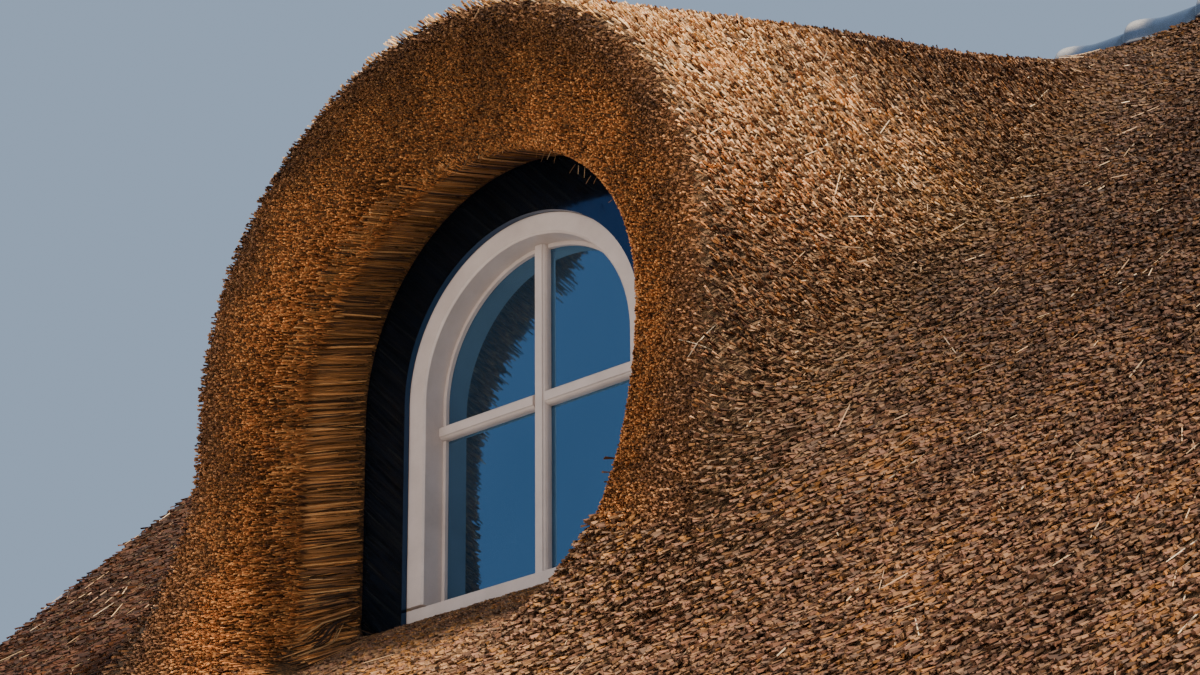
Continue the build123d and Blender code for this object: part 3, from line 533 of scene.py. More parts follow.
def closing(a, end, start):
    # the unseen side of the loop: cut edge, underside on the boarding, hood lining
    ca, sa = math.cos(a), math.sin(a)
    rend, yend = end

    def under(r):
        return SPRING + r * sa - C0 + DROP

    if abs(yend - Y_TOP) < 1.0:
        # cut edge at the ridge
        r1 = min(rend, (Y_TOP + C0 - DROP - SPRING) / sa)
        pts = [(rend + (r1 - rend) * k / 3, Y_TOP) for k in (1, 2)] + [(r1, Y_TOP)]
    elif sa < 0 and abs(rend * ca) < FIELD_X - 1.0:
        # eave, cut square to the slope
        low = (Y_LOW + C0 - DROP / 2 - SPRING) / sa
        side = FIELD_X / max(abs(ca), 1e-6)
        r1 = min(low, side)
        rm = (rend + r1) / 2
        pts = [(rm, 2 * Y_LOW + C0 - SPRING - rm * sa), (r1, 2 * Y_LOW + C0 - SPRING - r1 * sa)]
        r2 = r1 - 25.0 if low <= side else r1
        pts.append((r2, under(r2)))
    else:
        # side, cut upright
        pts = [(rend, yend + (under(rend) - yend) * k / 3) for k in (1, 2, 3)]
    rend = pts[-1][0]

    def tunnel(y):
        lo, hi = 100.0, 6000.0
        c = REV_C + RISE * y
        for _ in range(36):
            m = (lo + hi) / 2
            x, z = abs(m * ca), SPRING + m * sa
            if z > c:
                d = math.hypot(x, z - c) - R_REV
            else:
                qx, qz = x - (R_REV - 80.0), (FLOOR_Z + 80.0) - z
                d = math.hypot(qx, qz) - 80.0 if qx > 0 and qz > 0 else max(qx, qz) - 80.0
            lo, hi = (m, hi) if d < 0 else (lo, m)
        return lo

    t0 = tunnel(0.0)
    z0, x0 = SPRING + t0 * sa, abs(t0 * ca)
    if sa < 0 and z0 < FLOOR_Z + 200.0 and x0 < R_REV - 0.5:
        rd = (REAR_Y + C0 - DROP - SPRING) / sa
        for k in range(1, 5):
            q = rend + (rd - rend) * k / 4
            pts.append((q, SPRING + q * sa - C0 + DROP if k < 4 else REAR_Y))
        for k in range(1, 6):
            pts.append((rd + (start[0] - rd) * k / 6, REAR_Y))
        return pts
    if sa > 0:
        lo, hi = 0.0, Y_TOP + 900.0
        for _ in range(40):
            m = (lo + hi) / 2
            v = m + C0 - DROP - SPRING
            d = tunnel(m) - v / sa if v > 0 else 1.0
            lo, hi = (m, hi) if d > 0 else (lo, m)
        yc = lo
        rc = tunnel(yc)
    else:
        rc = t0
        yc = SPRING + rc * sa - C0 + DROP
    for k in range(1, 5):
        q = rend + (rc - rend) * k / 4
        pts.append((q, SPRING + q * sa - C0 + DROP))
    for k in range(1, 6):
        yy = yc + (REAR_Y - yc) * k / 6
        pts.append((tunnel(yy), yy))
    return pts


def spaced(a0, a1, step):
    n = max(2, int(round((a1 - a0) / step)))
    return [a0 + (a1 - a0) * k / n for k in range(n)]


def zones(p):
    # how much a surface point belongs to the front face and to the reveal
    x, y, z = p[:, 0], p[:, 1], p[:, 2]
    fo, ff = hood_dist(x, y, z)
    fr = roof_dist(x, y, z)
    rec = recess(x, y, z)
    reveal = 1 - smooth(rec, 4.0, 34.0)
    front = smooth(ff - fo, -50.0, 30.0) * smooth(fr, 30.0, 95.0) * (1 - reveal)
    return front, reveal


STEP = math.radians(1.4)
PIECES = {}


def radial_piece(name, replaced, angles):
    A = np.array(angles)
    top = contours(A)
    loops = []
    for i, a in enumerate(A):
        c = closing(a, top[i, -1], top[i, 0])
        loops.append(np.concatenate([top[i], np.array(c)]))
    L = np.array(loops)
    nA, nL = L.shape[:2]
    ca, sa = np.cos(A)[:, None], np.sin(A)[:, None]
    P = np.stack([L[..., 0] * ca, L[..., 1], SPRING + L[..., 0] * sa], -1)
    idx = np.arange(nA * nL).reshape(nA, nL)
    a_, b_ = idx[:-1], idx[1:]
    q = np.stack([a_, np.roll(a_, -1, 1), np.roll(b_, -1, 1), b_], -1).reshape(-1, 4)
    corners = np.concatenate([q.ravel(), idx[0][::-1], idx[-1]])
    sizes = np.concatenate([np.full(len(q), 4), [nL, nL]])
    flat = P.reshape(-1, 3)
    fr, rv = zones(flat)
    ntop = top.shape[1]
    keep = np.zeros((nA, nL), bool)
    keep[:, :ntop] = True
    fr, rv = fr * keep.ravel(), rv * keep.ravel()
    soft = np.broadcast_to(np.arange(nL) < ntop - 1, (nA - 1, nL)).ravel()
    soft = np.concatenate([soft, [False, False]])
    ob = new_mesh(name, to_part(flat), corners, sizes, SKIN, soft, {"front": fr, "reveal": rv})
    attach(ob, "root")
    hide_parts(*replaced)
    PIECES[name] = P[:, :ntop]
    return ob


def slab_piece(name, replaced, x0, x1):
    # plain field beside the swept part, a closed slab
    xs = np.linspace(x0, x1, 16)
    ys = np.linspace(Y_EAVE, Y_TOP, 90)
    X, Y = np.meshgrid(xs, ys, indexing="ij")
    top = np.stack([X, Y, TILT * Y + SURF], -1)
    t = (ys - Y_EAVE) / (Y_TOP - Y_EAVE)
    yb = (Y_LOW + THATCH / R2) + t * (Y_TOP - Y_LOW - THATCH / R2)
    Yb = np.broadcast_to(yb, X.shape)
    bot = np.stack([X, Yb, Yb + C0 - DROP], -1)
    loop = np.concatenate([top, bot[:, ::-1]], 1)
    nA, nL = loop.shape[:2]
    idx = np.arange(nA * nL).reshape(nA, nL)
    a_, b_ = idx[:-1], idx[1:]
    q = np.stack([a_, b_, np.roll(b_, -1, 1), np.roll(a_, -1, 1)], -1).reshape(-1, 4)
    corners = np.concatenate([q.ravel(), idx[0], idx[-1][::-1]])
    sizes = np.concatenate([np.full(len(q), 4), [nL, nL]])
    zero = np.zeros(nA * nL)
    ob = new_mesh(name, to_part(loop.reshape(-1, 3)), corners, sizes, SKIN, False, {"front": zero, "reveal": zero})
    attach(ob, "root")
    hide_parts(*replaced)
    PIECES[name] = top
    return ob


radial_piece("crown_thatch_skin", ["crown_thatch"], spaced(A_CROWN, math.pi - A_CROWN, STEP) + [math.pi - A_CROWN])
radial_piece("right_flank_skin", ["right_flank_thatch"],
             spaced(A_APRON, A_LOW, STEP) + spaced(A_LOW, A_TOP, STEP) + spaced(A_TOP, A_CROWN, STEP) + [A_CROWN])
radial_piece("left_flank_skin", ["left_flank_thatch"],
             spaced(math.pi - A_CROWN, math.pi - A_TOP, STEP) + spaced(math.pi - A_TOP, math.pi - A_LOW, STEP)
             + spaced(math.pi - A_LOW, math.pi - A_APRON, STEP) + [math.pi - A_APRON])
radial_piece("apron_skin", ["apron_thatch"], spaced(-math.pi - A_APRON, A_APRON, STEP) + [A_APRON])
slab_piece("right_roof_skin", ["right_roof_thatch"], FIELD_X, HALF_W)
slab_piece("left_roof_skin", ["left_roof_thatch"], -HALF_W, -FIELD_X)


# ------------------------------------------------------------------
# reeds
# ------------------------------------------------------------------
def scatter(P, density):
    # jittered points over a grid of surface points; density per m2 as a function of the points
    p00, p10, p01, p11 = P[:-1, :-1], P[1:, :-1], P[:-1, 1:], P[1:, 1:]
    mid = ((p00 + p10 + p01 + p11) / 4).reshape(-1, 3)
    area = np.linalg.norm(np.cross(p11 - p00, p01 - p10), axis=-1).ravel() / 2 / 1e6
    want = area * density(mid)
    n = np.floor(want + rng.random(len(want))).astype(int)
    k = np.repeat(np.arange(len(n)), n)
    u, v = rng.random((2, len(k)))
    f = [c.reshape(-1, 3)[k] for c in (p00, p10, p01, p11)]
    pts = (f[0] * ((1 - u) * (1 - v))[:, None] + f[1] * (u * (1 - v))[:, None] + f[2] * ((1 - u) * v)[:, None]
           + f[3] * (u * v)[:, None])
    return pts


def limit(tint, high=0.92):
    top = np.max(tint, -1, keepdims=True)
    return np.maximum(tint * np.minimum(1.0, high / np.maximum(top, 1e-6)), 0.003)


def stubs(name, butt, axis, length, radius, tint, mat, tip_painted_shade=0.45):
    # each reed end is a closed three-sided spike: a cut end outside, the point buried up the slope
    n = len(butt)
    axis = unit(axis)
    ref = unit(rng.normal(size=(n, 3)))
    u = unit(np.cross(axis, ref))
    v = np.cross(axis, u)
    V = np.empty((n, 4, 3))
    for k in range(3):
        a = 2 * math.pi * k / 3
        j = axis * (radius * rng.uniform(-0.9, 0.9, n))[:, None]
        V[:, k] = butt + (u * math.cos(a) + v * math.sin(a)) * radius[:, None] + j
    V[:, 3] = butt - axis * length[:, None]
    base = (np.arange(n) * 4)[:, None]
    tri = np.array([[0, 1, 2], [1, 0, 3], [2, 1, 3], [0, 2, 3]]).ravel()
    corners = (base + tri[None]).ravel()
    sizes = np.full(n * 4, 3)
    col = np.repeat(tint[:, None, :], 4, 1)
    # the buried point is darker: painted shade in the gaps between the reeds
    col[:, 3] *= tip_painted_shade
    ob = new_mesh(name, to_part(V.reshape(-1, 3)), corners, sizes, mat, False, None, col.reshape(-1, 3))
    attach(ob, "root")
    return ob


def lattice(p, size, seed):
    # smooth value noise from a fixed table, 0 to 1
    table = np.random.default_rng(seed).random(4096)
    q = p / size
    i = np.floor(q).astype(np.int64)
    f = q - i
    f = f * f * (3 - 2 * f)
    out = np.zeros(len(p))
    for dx in (0, 1):
        for dy in (0, 1):
            for dz in (0, 1):
                h = ((i[:, 0] + dx) * 73856093 ^ (i[:, 1] + dy) * 19349663 ^ (i[:, 2] + dz) * 83492791) & 4095
                w = ((f[:, 0] if dx else 1 - f[:, 0]) * (f[:, 1] if dy else 1 - f[:, 1])
                     * (f[:, 2] if dz else 1 - f[:, 2]))
                out += w * table[h]
    return out


def hues(n, colours, shares, spread, shift=None):
    # a colour for each reed: one of a few hues, lighter or darker
    colours = np.array(colours)
    edge = np.cumsum(shares) / np.sum(shares)
    t = rng.random(n)
    if shift is not None:
        t = np.clip(t + shift, 0.0, 0.9999)
    c = colours[np.minimum(np.searchsorted(edge, t), len(colours) - 1)]
    b = np.exp(spread * np.clip(rng.normal(size=n), -2.4, 1.9))
    return c * b[:, None]


# dark, grey brown, pinkish brown, beige, gold
ROOF_C = [(0.095, 0.045, 0.020), (0.200, 0.128, 0.082), (0.280, 0.148, 0.090), (0.345, 0.202, 0.104), (0.400, 0.195, 0.060)]
ROOF_S = [2.2, 2.4, 3.2, 3.4, 1.2]
HOOD_C2 = [(0.120, 0.056, 0.024), (0.400, 0.235, 0.115), (0.690, 0.462, 0.245), (0.930, 0.725, 0.465), (0.780, 0.450, 0.160)]
HOOD_S = [2.6, 2.6, 3.0, 3.0, 1.6]
FACE_C = [(0.140, 0.058, 0.026), (0.440, 0.168, 0.056), (0.650, 0.262, 0.082), (0.780, 0.360, 0.125)]
FACE_S = [1.6, 2.6, 4.0, 2.2]
STEM_C = [(0.090, 0.042, 0.016), (0.320, 0.140, 0.044), (0.560, 0.250, 0.082), (0.760, 0.395, 0.150)]
STEM_S = [2.0, 3.0, 3.4, 1.4]


def roof_reeds(name, grids, density, budget, tip=0.45):
    pts = np.concatenate([scatter(g, density) for g in grids])
    if len(pts) > budget:
        pts = pts[rng.permutation(len(pts))[:budget]]
    n = normal_at(pts)
    front, reveal = zones(pts)
    floor = (n[:, 2] > 0.72) & (pts[:, 2] < 260.0) & (np.abs(pts[:, 0]) < 520.0)
    clear = (recess(pts[:, 0], pts[:, 1], pts[:, 2]) > 55.0) | (pts[:, 2] < 120.0)
    ok = (front < rng.random(len(pts)) * 0.8 + 0.1) & (((reveal < 0.5) & clear) | floor)
    pts, n = pts[ok], n[ok]
    m = len(pts)
    fo, ff = hood_dist(pts[:, 0], pts[:, 1], pts[:, 2])
    hood = (1 - smooth(fo, 0.0, 420.0)) * smooth(roof_dist(pts[:, 0], pts[:, 1], pts[:, 2]), 40.0, 260.0)
    up = np.maximum(n[:, 2], 0.0)
    flat = np.stack([0.08 * n[:, 0], -np.ones(m), np.full(m, -0.55)], 1)
    out = np.stack([0.30 * n[:, 0], -np.ones(m), -0.10 + 0.26 * up], 1)
    axis = flat * (1 - hood)[:, None] + out * hood[:, None]
    sway = (lattice(pts, 260.0, 5) - 0.5) * 0.22
    axis = axis + rng.normal(0, 0.085, (m, 3))
    axis[:, 0] += sway
    axis = unit(axis)
    rise = np.sum(axis * n, 1)
    axis = unit(axis + n * np.clip(0.16 - rise, 0.0, 1.0)[:, None])
    rise = np.clip(np.sum(axis * n, 1), 0.12, 0.75)
    seen = rng.uniform(26.0, 66.0, m) * (1 - 0.22 * hood)
    seen = seen * (1 - 0.45 * hood * smooth(-pts[:, 0], 150.0, 500.0))
    # trimmed short below the window
    sill = (smooth(-np.abs(pts[:, 0]), -900.0, -640.0) * smooth(pts[:, 1], -900.0, -560.0)
            * smooth(-pts[:, 2], -160.0, -20.0))
    seen = seen * (1 - 0.25 * sill)
    proud = seen * rise - 2.0 * sill
    length = seen + rng.uniform(14.0, 26.0, m)
    radius = rng.uniform(3.2, 5.9, m) - hood * rng.uniform(0.3, 1.3, m)
    broad = lattice(pts, 330.0, 7) * 0.6 + lattice(pts, 120.0, 9) * 0.4
    fine = lattice(pts, 34.0, 13)
    shift = (lattice(pts, 210.0, 21) - 0.5) * 0.55
    # greyer and darker up the roof and towards both sides; on the hood a painted sunlit shoulder, with painted shade
    # low on the flanks, towards the back and on the left
    high = (0.94 - 0.575 * smooth(pts[:, 2], -800.0, 800.0)) * (1 - 0.34 * smooth(pts[:, 0], 800.0, 1900.0))
    high = high * (1 - 0.42 * smooth(-pts[:, 0], 900.0, 1600.0))
    side = (0.31 + 1.52 * smooth(pts[:, 2], 640.0, 1430.0)) * (1 - 0.88 * smooth(pts[:, 1], -180.0, 1050.0))
    side = side * (1 - 0.45 * smooth(-pts[:, 0], 100.0, 500.0))
    tint = (hues(m, ROOF_C, ROOF_S, 0.13, shift) * ((1 - hood) * high)[:, None]
            + hues(m, HOOD_C2, HOOD_S, 0.52, shift * 0.6) * (hood * side)[:, None])
    tint = tint * (0.72 + 0.38 * broad + 0.20 * fine)[:, None]
    # redder up the slope and on the left
    red = np.maximum(hood * smooth(pts[:, 1], -50.0, 1400.0),
                     1.2 * smooth(-pts[:, 0], 900.0, 1500.0) * (1 - hood) * smooth(pts[:, 2], -750.0, 50.0))
    red = np.maximum(red, 1.05 * hood * (1 - smooth(pts[:, 2], 700.0, 1350.0)))
    red = np.maximum(red, 0.30 * smooth(pts[:, 0], 800.0, 1700.0))
    tint = tint * np.stack([np.ones(m), 0.95 - 0.22 * red, 0.93 - 0.29 * red], 1)
    print("reeds", name, m)
    return stubs(name, pts + n * proud[:, None], axis, length, radius, limit(tint), REED, tip_painted_shade=tip)


def even(d):
    return lambda p: np.full(len(p), float(d))


Q = 1.0
roof_reeds("crown_reeds", [PIECES["crown_thatch_skin"]],
           lambda p: (4400.0 - 2000.0 * smooth(-p[:, 0], 150.0, 1000.0)) * Q, 36000)
roof_reeds("right_flank_reeds", [PIECES["right_flank_skin"]], even(6200 * Q), 43000)
roof_reeds("left_flank_reeds", [PIECES["left_flank_skin"]], even(2400 * Q), 17500)
roof_reeds("apron_reeds", [PIECES["apron_skin"]], even(6000 * Q), 36000, 0.60)
roof_reeds("right_field_reeds", [PIECES["right_roof_skin"]], even(5200 * Q), 27000, 0.55)
roof_reeds("left_field_reeds", [PIECES["left_roof_skin"]], even(1900 * Q), 9700)


def face_weight(p):
    # the front face of the hood, round the lip into the recess
    x, y, z = p[:, 0], p[:, 1], p[:, 2]
    fo, ff = hood_dist(x, y, z)
    return smooth(ff - fo, -50.0, 30.0) * smooth(ff, -66.0, -34.0) * smooth(roof_dist(x, y, z), 0.0, 80.0)


def face_reeds():
    grids = [PIECES[k] for k in ("crown_thatch_skin", "right_flank_skin", "left_flank_skin", "apron_skin")]

    def density(p):
        return 19000.0 * face_weight(p) * Q

    pts = np.concatenate([scatter(g, density) for g in grids])
    print("face points", len(pts))
    if len(pts) > 44000:
        pts = pts[rng.permutation(len(pts))[:44000]]
    n = normal_at(pts)
    m = len(pts)
    fo, ff = hood_dist(pts[:, 0], pts[:, 1], pts[:, 2])
    lip = recess(pts[:, 0], pts[:, 1], pts[:, 2])
    out = smooth(lip, 5.0, 95.0)
    left = smooth(-pts[:, 0], 40.0, 420.0)
    axis = np.array([0.0, -1.0, -RISE])[None] + rng.normal(0, 0.105, (m, 3)) * (0.45 + 0.55 * np.maximum(out, left))[:, None]
    axis = unit(axis)
    rise = np.sum(axis * n, 1)
    axis = unit(axis + n * np.clip(0.22 - rise, 0.0, 1.0)[:, None])
    rise = np.clip(np.sum(axis * n, 1), 0.18, 1.0)
    seen = 2.0 + 27.0 * rng.random(m) ** 1.7
    seen = np.minimum(seen, 9.0 + 40.0 * out) * (0.62 + 0.38 * out) + 4.0 * (1 - out)
    seen = seen + left * (1 - smooth(lip, 20.0, 190.0)) * rng.uniform(6.0, 52.0, m)
    proud = seen * rise
    rim = smooth(-fo, 10.0, 250.0)
    patch = lattice(pts, 170.0, 31) * 0.65 + lattice(pts, 60.0, 33) * 0.35
    # darker browns towards the outer rim of the face: painted shade, broken up by random patches
    dark = np.clip((1 - rim) * 1.05 - (patch - 0.35) * 1.1, 0, 1)
    tint = hues(m, FACE_C, FACE_S, 0.30, (patch - 0.5) * 0.5)
    rim_shade_hues = hues(m, [(0.120, 0.060, 0.036), (0.250, 0.125, 0.068), (0.400, 0.215, 0.110)], [2.4, 3, 1.6], 0.34)
    tint = tint * (1 - dark)[:, None] + rim_shade_hues * dark[:, None]
    tint = tint * ((0.665 + 0.51 * patch) * (1 - 0.54 * smooth(pts[:, 2], 1120.0, 1720.0))
                   * (1 - 0.16 * smooth(pts[:, 0], 450.0, 850.0)))[:, None]
    stubs("front_face_reed_ends", pts + n * proud[:, None], axis, seen + rng.uniform(10, 18, m),
          rng.uniform(2.2, 3.7, m) + 0.8 * (1 - rim), limit(tint), REED_END, tip_painted_shade=0.40)


face_reeds()


def on_recess(x, z, y, depth, times=7):
    # moves points in the x-z plane to a given depth behind the recess outline
    e = 1.5
    for _ in range(times):
        gx = (recess(x + e, y, z) - recess(x - e, y, z)) / (2 * e)
        gz = (recess(x, y, z + e) - recess(x, y, z - e)) / (2 * e)
        g2 = gx * gx + gz * gz + 1e-6
        d = recess(x, y, z) - depth
        x, z = x - d * gx / g2, z - d * gz / g2
    return x, z


def tubes(name, C, rad, tint, mat, taper):
    # closed three-sided stems through given rings of centres
    count, rings = C.shape[:2]
    ax = unit(C[:, -1] - C[:, 0])
    ref = unit(rng.normal(size=(count, 3)))
    u = unit(np.cross(ax, ref))
    v = np.cross(ax, u)
    sides = 3
    V = np.empty((count, rings * sides, 3))
    for k in range(rings):
        s = rad * taper[k]
        for j in range(sides):
            an = 2 * math.pi * j / sides
            V[:, k * sides + j] = C[:, k] + (u * math.cos(an) + v * math.sin(an)) * s[:, None]
    faces, sizes = [], []
    for k in range(rings - 1):
        for j in range(sides):
            j2 = (j + 1) % sides
            faces += [k * sides + j, k * sides + j2, (k + 1) * sides + j2, (k + 1) * sides + j]
            sizes.append(4)
    faces += [2, 1, 0]
    e = (rings - 1) * sides
    faces += [e, e + 1, e + 2]
    sizes += [3, 3]
    corners = ((np.arange(count) * rings * sides)[:, None] + np.array(faces)[None]).ravel()
    col = np.repeat(tint[:, :, None, :], sides, 2).reshape(-1, 3)
    ob = new_mesh(name, to_part(V.reshape(-1, 3)), corners, np.tile(sizes, count), mat, False, None, col)
    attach(ob, "root")
    return ob


def reveal_stems():
    # long stems that line the recess from the board to the front edge, in line with the hood
    count = int(3900 * (1.0))
    test = np.linspace(-math.pi, math.pi, 3000)
    lo, hi = np.full(len(test), 100.0), np.full(len(test), 1500.0)
    ymid = -165.0
    for _ in range(34):
        mm = (lo + hi) / 2
        inside = recess(mm * np.cos(test), ymid, SPRING + mm * np.sin(test)) < 0
        lo, hi = np.where(inside, mm, lo), np.where(inside, hi, mm)
    X, Z = lo * np.cos(test), SPRING + lo * np.sin(test)
    S = np.concatenate([[0], np.cumsum(np.hypot(np.diff(X), np.diff(Z)))])
    s = (np.arange(count) + rng.random(count)) / count * S[-1]
    x, z = np.interp(s, S, X), np.interp(s, S, Z)
    keep = (z > -38.0) | (rng.random(len(x)) < 0.55)
    x, z = x[keep], z[keep]
    m = len(x)
    rings = 4
    y0 = REAR_Y - rng.uniform(1.0, 26.0, m)
    y1 = FACE_Y + rng.uniform(-4.0, 58.0, m)
    # on the left some run straight out over the rounded lip
    left = smooth(-x, 60.0, 300.0) * (rng.random(m) < 0.62)
    y1 = y1 - left * rng.uniform(10.0, 70.0, m)
    late = rng.random(m) < 0.35
    y0 = np.where(late, y0 - rng.uniform(20, 110, m), y0)
    depth = rng.uniform(-3.4, 4.4, m)
    rad = rng.uniform(2.1, 3.5, m)
    skew = rng.normal(0, 0.035, m)
    rows = []
    for k in range(rings):
        t = (0.0, 0.45, 0.78, 1.0)[k]
        y = y0 + (y1 - y0) * t
        zz = z + (RISE + skew) * (y - ymid)
        xx = x + 0.0 * y
        xx, zz = on_recess(xx, zz, y, depth + 3.0 * (t - 0.5) ** 2)
        q = np.stack([xx, y, zz], -1)
        # follow the rounded lip
        for _ in range(2):
            f = F(q[:, 0], q[:, 1], q[:, 2]) - np.clip(-depth, 0.5, 3.0)
            q = q - normal_at(q) * np.clip(f, -14.0, 40.0)[:, None] * (smooth(-y, 190.0, 240.0) * (1 - left))[:, None]
        rows.append(q)
    C = np.stack(rows, 1)
    # lighter low in the recess and darker up the arch; each stem is darker towards its rear end deep in the recess, as
    # painted shade
    tone = 0.62 + 0.55 * (1 - smooth(z, 250.0, 1350.0)) + 0.25 * (lattice(C[:, 1], 90.0, 41) - 0.5)
    base = hues(m, STEM_C, STEM_S, 0.36) * tone[:, None]
    tint = np.stack([base * f for f in (0.62, 0.88, 1.0, 1.12)], 1)
    print("stems", m)
    tubes("reveal_stems", C, rad, limit(tint), STEM, (0.8, 1.0, 1.0, 0.8))
    # long strands that fan out of the lower corners, down over the lip
    m = 300
    side = np.where(rng.random(m) < 0.6, -1.0, 1.0)
    a = rng.uniform(0.0, 1.0, m)
    x = side * (R_REV - 6.0 - 190.0 * a ** 1.6)
    z = 20.0 + 250.0 * (1 - a) ** 1.8 + rng.uniform(-14, 14, m)
    y0 = REAR_Y - rng.uniform(4.0, 120.0, m)
    run = rng.uniform(90.0, 270.0, m)
    drop = 0.50 + rng.normal(0, 0.05, m) - 0.20 * smooth(z, 60.0, 240.0)
    out = side * rng.normal(0.06, 0.06, m)
    lift = rng.uniform(1.0, 6.0, m)
    rows = []
    for t in (0.0, 0.25, 0.5, 0.75, 1.0):
        q = np.stack([x + out * run * t, y0 - run * t, z - drop * (REAR_Y - y0 + run * t)], -1)
        for _ in range(4):
            f = F(q[:, 0], q[:, 1], q[:, 2]) - lift
            q = q - normal_at(q) * np.clip(f, -60.0, 60.0)[:, None]
        rows.append(q)
    C = np.stack(rows, 1)
    near = np.abs(C[:, 0, 1] - y0) < 60.0
    C = C[near]
    k = len(C)
    base = hues(k, [(0.040, 0.022, 0.012), (0.22, 0.10, 0.038), (0.40, 0.19, 0.070), (0.55, 0.32, 0.14)], [4, 3, 2, 0.6], 0.34)
    # darker at the rear end, deep in the recess: painted shade
    tint = np.stack([base * f for f in (0.60, 0.85, 1.0, 1.0, 0.9)], 1)
    print("strands", k)
    tubes("corner_strands", C, rng.uniform(1.8, 3.2, k), limit(tint), STEM, (0.8, 1.0, 1.0, 1.0, 0.6))


reveal_stems()


def foot_reeds():
    # reed ends that lie against the foot of the board, and wisps that hang from the arch of the recess
    m = int(2300 * (1.0))
    x = rng.uniform(-660.0, 660.0, m)
    y = REAR_Y - rng.uniform(3.0, 130.0, m)
    t = (REAR_Y - y) / (REAR_Y - FACE_Y)
    z = FLOOR_Z - FLOOR_FALL * t + rng.uniform(-2.0, 7.0, m)
    edge = np.maximum(np.abs(x) - 625.0, 0.0)
    z = z + 45.0 - np.sqrt(np.maximum(45.0 ** 2 - edge ** 2, 0.0))
    axis = unit(np.stack([rng.normal(0, 0.25, m), -np.ones(m), rng.normal(-0.50, 0.10, m)], 1))
    length = np.minimum(rng.uniform(24.0, 50.0, m), (REAR_Y - y) / np.abs(axis[:, 1]) + 3.0 + 0 * x)
    length = np.maximum(length, 14.0)
    tint = hues(m, ROOF_C, ROOF_S, 0.30) * 0.75
    stubs("foot_reeds", np.stack([x, y, z], 1), axis, length, rng.uniform(2.4, 4.2, m), tint, REED)
    k = 34
    a = rng.uniform(0.12, 0.80, k) * math.pi
    y = FACE_Y + rng.uniform(-6.0, 60.0, k)
    x, z = R_REV * np.cos(a), REV_C + RISE * y + R_REV * np.sin(a)
    x, z = on_recess(x, z, y, np.full(k, 4.0))
    lead = np.stack([rng.normal(0, 0.25, k), rng.normal(-0.45, 0.35, k), -np.ones(k)], 1)
    lead = unit(lead)
    long = rng.uniform(14.0, 48.0, k)
    P0 = np.stack([x, y, z], 1)
    C = np.stack([P0, P0 + lead * (long * 0.5)[:, None], P0 + lead * long[:, None] + np.array([0, 0, -2.0])], 1)
    base = hues(k, [(0.30, 0.16, 0.06), (0.50, 0.34, 0.18)], [2, 1], 0.25)
    # darker at the root under the arch: painted shade
    tubes("hanging_wisps", C, rng.uniform(0.7, 1.15, k), np.stack([base * 0.6, base, base * 1.1], 1), STEM, (1.0, 1.0, 0.7))


foot_reeds()


def loose_straws():
    # pale broken straws that lie loose on the thatch
    grids = [PIECES[k] for k in ("crown_thatch_skin", "right_flank_skin", "left_flank_skin", "apron_skin",
                                 "right_roof_skin", "left_roof_skin")]
    pts = np.concatenate([scatter(g, even(22.0)) for g in grids])
    front, reveal = zones(pts)
    pts = pts[(reveal < 0.3) & (front < 0.5 + 0.5 * rng.random(len(pts)))]
    m = len(pts)
    n = normal_at(pts)
    t = np.stack([rng.normal(0, 0.45, m), -np.ones(m), rng.normal(-0.6, 0.4, m)], 1)
    t = unit(t - n * np.sum(t * n, 1)[:, None])
    half = rng.uniform(18.0, 85.0, m)
    gap = rng.uniform(7.0, 13.0, m)
    tilt = rng.normal(0.04, 0.08, m)
    rows = []
    for k in (-1.0, -0.33, 0.33, 1.0):
        q = pts + t * (half * k)[:, None]
        nn = normal_at(q)
        q = q - nn * F(q[:, 0], q[:, 1], q[:, 2])[:, None]
        rows.append(q + n * (gap + tilt * half * k)[:, None])
    C = np.stack(rows, 1)
    base = hues(m, [(0.34, 0.22, 0.13), (0.48, 0.34, 0.21), (0.64, 0.50, 0.35)], [3, 3, 1.2], 0.20)
    tint = np.stack([base * f for f in (0.8, 1.0, 1.0, 0.9)], 1)
    print("straws", m)
    tubes("loose_straws", C, rng.uniform(1.3, 2.3, m), limit(tint), REED, (0.7, 1.0, 1.0, 0.8))


loose_straws()


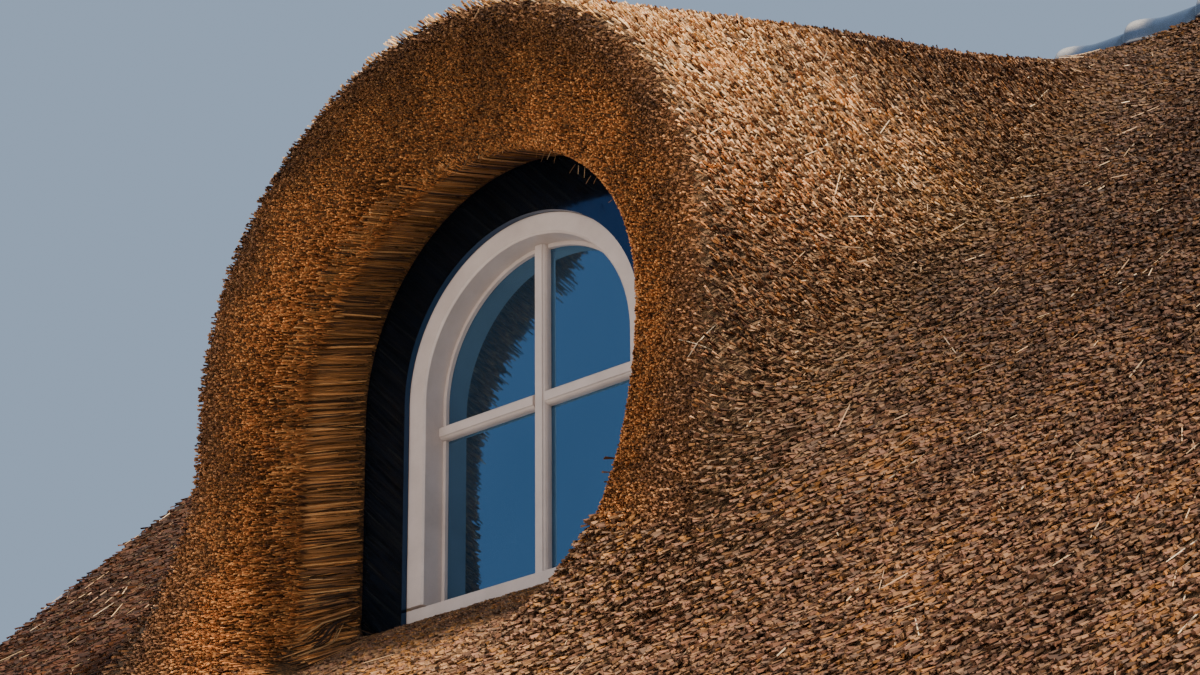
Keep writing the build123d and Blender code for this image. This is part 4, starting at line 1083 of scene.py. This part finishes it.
# ------------------------------------------------------------------
# ridge tiles: half-round, each with a raised collar over the next
# ------------------------------------------------------------------
def ridge_tiles():
    n = 20
    pitch = 2 * HALF_W / n
    # flared end, tapering to the narrow end that the next tile covers
    prof_o = [(0.0, 125.0), (1.0, 147.0), (6.0, 152.5), (16.0, 154.0), (34.0, 152.5), (60.0, 147.0), (90.0, 138.5),
              (120.0, 131.0), (150.0, 127.0), (190.0, 125.5), (pitch * 0.8, 124.5), (pitch - 1.5, 124.0)]
    seg = 28
    th = [math.pi * k / seg for k in range(seg + 1)]
    V, Fc, Sz, painted_highlight = [], [], [], []
    for i in range(n):
        x0 = -HALF_W + i * pitch
        dz, dy = rng.uniform(-1.5, 1.5), rng.uniform(-2.0, 2.0)
        base = len(V)
        m = len(prof_o)
        for (dx, ro) in prof_o:
            for t in th:
                V.append((x0 + dx, Y_RIDGE + dy - ro * math.cos(t), RIDGE_Z + dz + ro * math.sin(t)))
                # pale crests of the collars, towards the top: painted highlight
                a = max(0.0, min(1.0, (98.0 - dx) / 50.0)) * max(0.0, min(1.0, (math.sin(t) - 0.35) / 0.30))
                painted_highlight.append((a, a, a))
        inner = len(V)
        for (dx, ro) in (prof_o[0], prof_o[-1]):
            for t in th:
                V.append((x0 + dx, Y_RIDGE + dy - 109.5 * math.cos(t), RIDGE_Z + dz + 109.5 * math.sin(t)))
                painted_highlight.append((0.0, 0.0, 0.0))
        w = seg + 1
        for a in range(m - 1):
            for b in range(seg):
                p = base + a * w + b
                Fc += [p, p + w, p + w + 1, p + 1]
                Sz.append(4)
        for b in range(seg):
            p = inner + b
            Fc += [p, p + 1, p + w + 1, p + w]
            Sz.append(4)
            Fc += [base + b, base + b + 1, inner + b + 1, inner + b]
            Sz.append(4)
            q = base + (m - 1) * w + b
            Fc += [q + 1, q, inner + w + b, inner + w + b + 1]
            Sz.append(4)
        for b, flip in ((0, False), (seg, True)):
            ring = [base + a * w + b for a in range(m)]
            ring = ring + [inner + w + b, inner + b]
            Fc += ring if flip else ring[::-1]
            Sz.append(len(ring))
    ob = new_mesh("ridge_tile_row", to_part(np.array(V)), Fc, Sz, TILE, True, None, np.array(painted_highlight))
    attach(ob, "root")
    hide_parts("ridge_tiles")
    ob.data.polygons.foreach_set("use_smooth", np.array([s == 4 for s in Sz], bool))


ridge_tiles()

# ------------------------------------------------------------------
# camera at the photograph's viewpoint, light, floor
# ------------------------------------------------------------------
A0, TH, RO = math.radians(41.7517), math.radians(22.9569), math.radians(-0.5970)
d = Vector((-math.sin(A0) * math.cos(TH), math.cos(A0) * math.cos(TH), math.sin(TH)))
rr = Vector((math.cos(A0), math.sin(A0), 0))
uu = rr.cross(d)
r2 = rr * math.cos(RO) + uu * math.sin(RO)
u2 = -rr * math.sin(RO) + uu * math.cos(RO)
cam_data = bpy.data.cameras.new("camera")
cam = bpy.data.objects.new("camera", cam_data)
bpy.context.scene.collection.objects.link(cam)
M = Matrix((r2, u2, -d)).transposed().to_4x4()
M.translation = Vector((6.0748, -6.6721, -2.4886))
cam.matrix_world = M
cam_data.sensor_width = 36.0
cam_data.lens = 92.92
cam_data.clip_start, cam_data.clip_end = 0.05, 200.0
bpy.context.scene.camera = cam

world = bpy.data.worlds.new("studio")
world.use_nodes = True
bg = world.node_tree.nodes["Background"]
bg.inputs["Color"].default_value = (0.50, 0.66, 0.90, 1)
bg.inputs["Strength"].default_value = 0.62
bpy.context.scene.world = world


def sun(name, direction, strength, angle, colour):
    data = bpy.data.lights.new(name, "SUN")
    data.energy, data.angle, data.color = strength, math.radians(angle), colour
    ob = bpy.data.objects.new(name, data)
    ob.rotation_mode = "QUATERNION"
    ob.rotation_quaternion = (-Vector(direction)).to_track_quat("-Z", "Y")
    bpy.context.scene.collection.objects.link(ob)


sun("key", (0.70, 0.05, 0.70), 9.8, 9, (1.0, 0.90, 0.76))
sun("fill", (0.12, -0.98, 0.08), 1.35, 60, (1.0, 0.88, 0.74))

fm = Nodes("studio_floor")
fm.set(Base_Color=fm.ramp(fm.noise(fm.coords(), 0.6, 2.0, 0.5), [(0.3, (0.66, 0.66, 0.65)), (0.7, (0.70, 0.70, 0.69))]),
       Roughness=0.8)
fl = bpy.data.meshes.new("studio_floor")
fl.from_pydata([(-40, -40, -2.62), (40, -40, -2.62), (40, 40, -2.62), (-40, 40, -2.62)], [], [(0, 1, 2, 3)])
floor = bpy.data.objects.new("studio_floor", fl)
floor.data.materials.append(fm.mat)
bpy.context.scene.collection.objects.link(floor)
floor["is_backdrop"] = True

total = 0
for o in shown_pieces():
    if o.type == "MESH" and o.name not in nodes:
        k = len(o.data.loops) - 2 * len(o.data.polygons)
        total += k
        print("triangles", o.name, k)
print("triangles added in all", total)
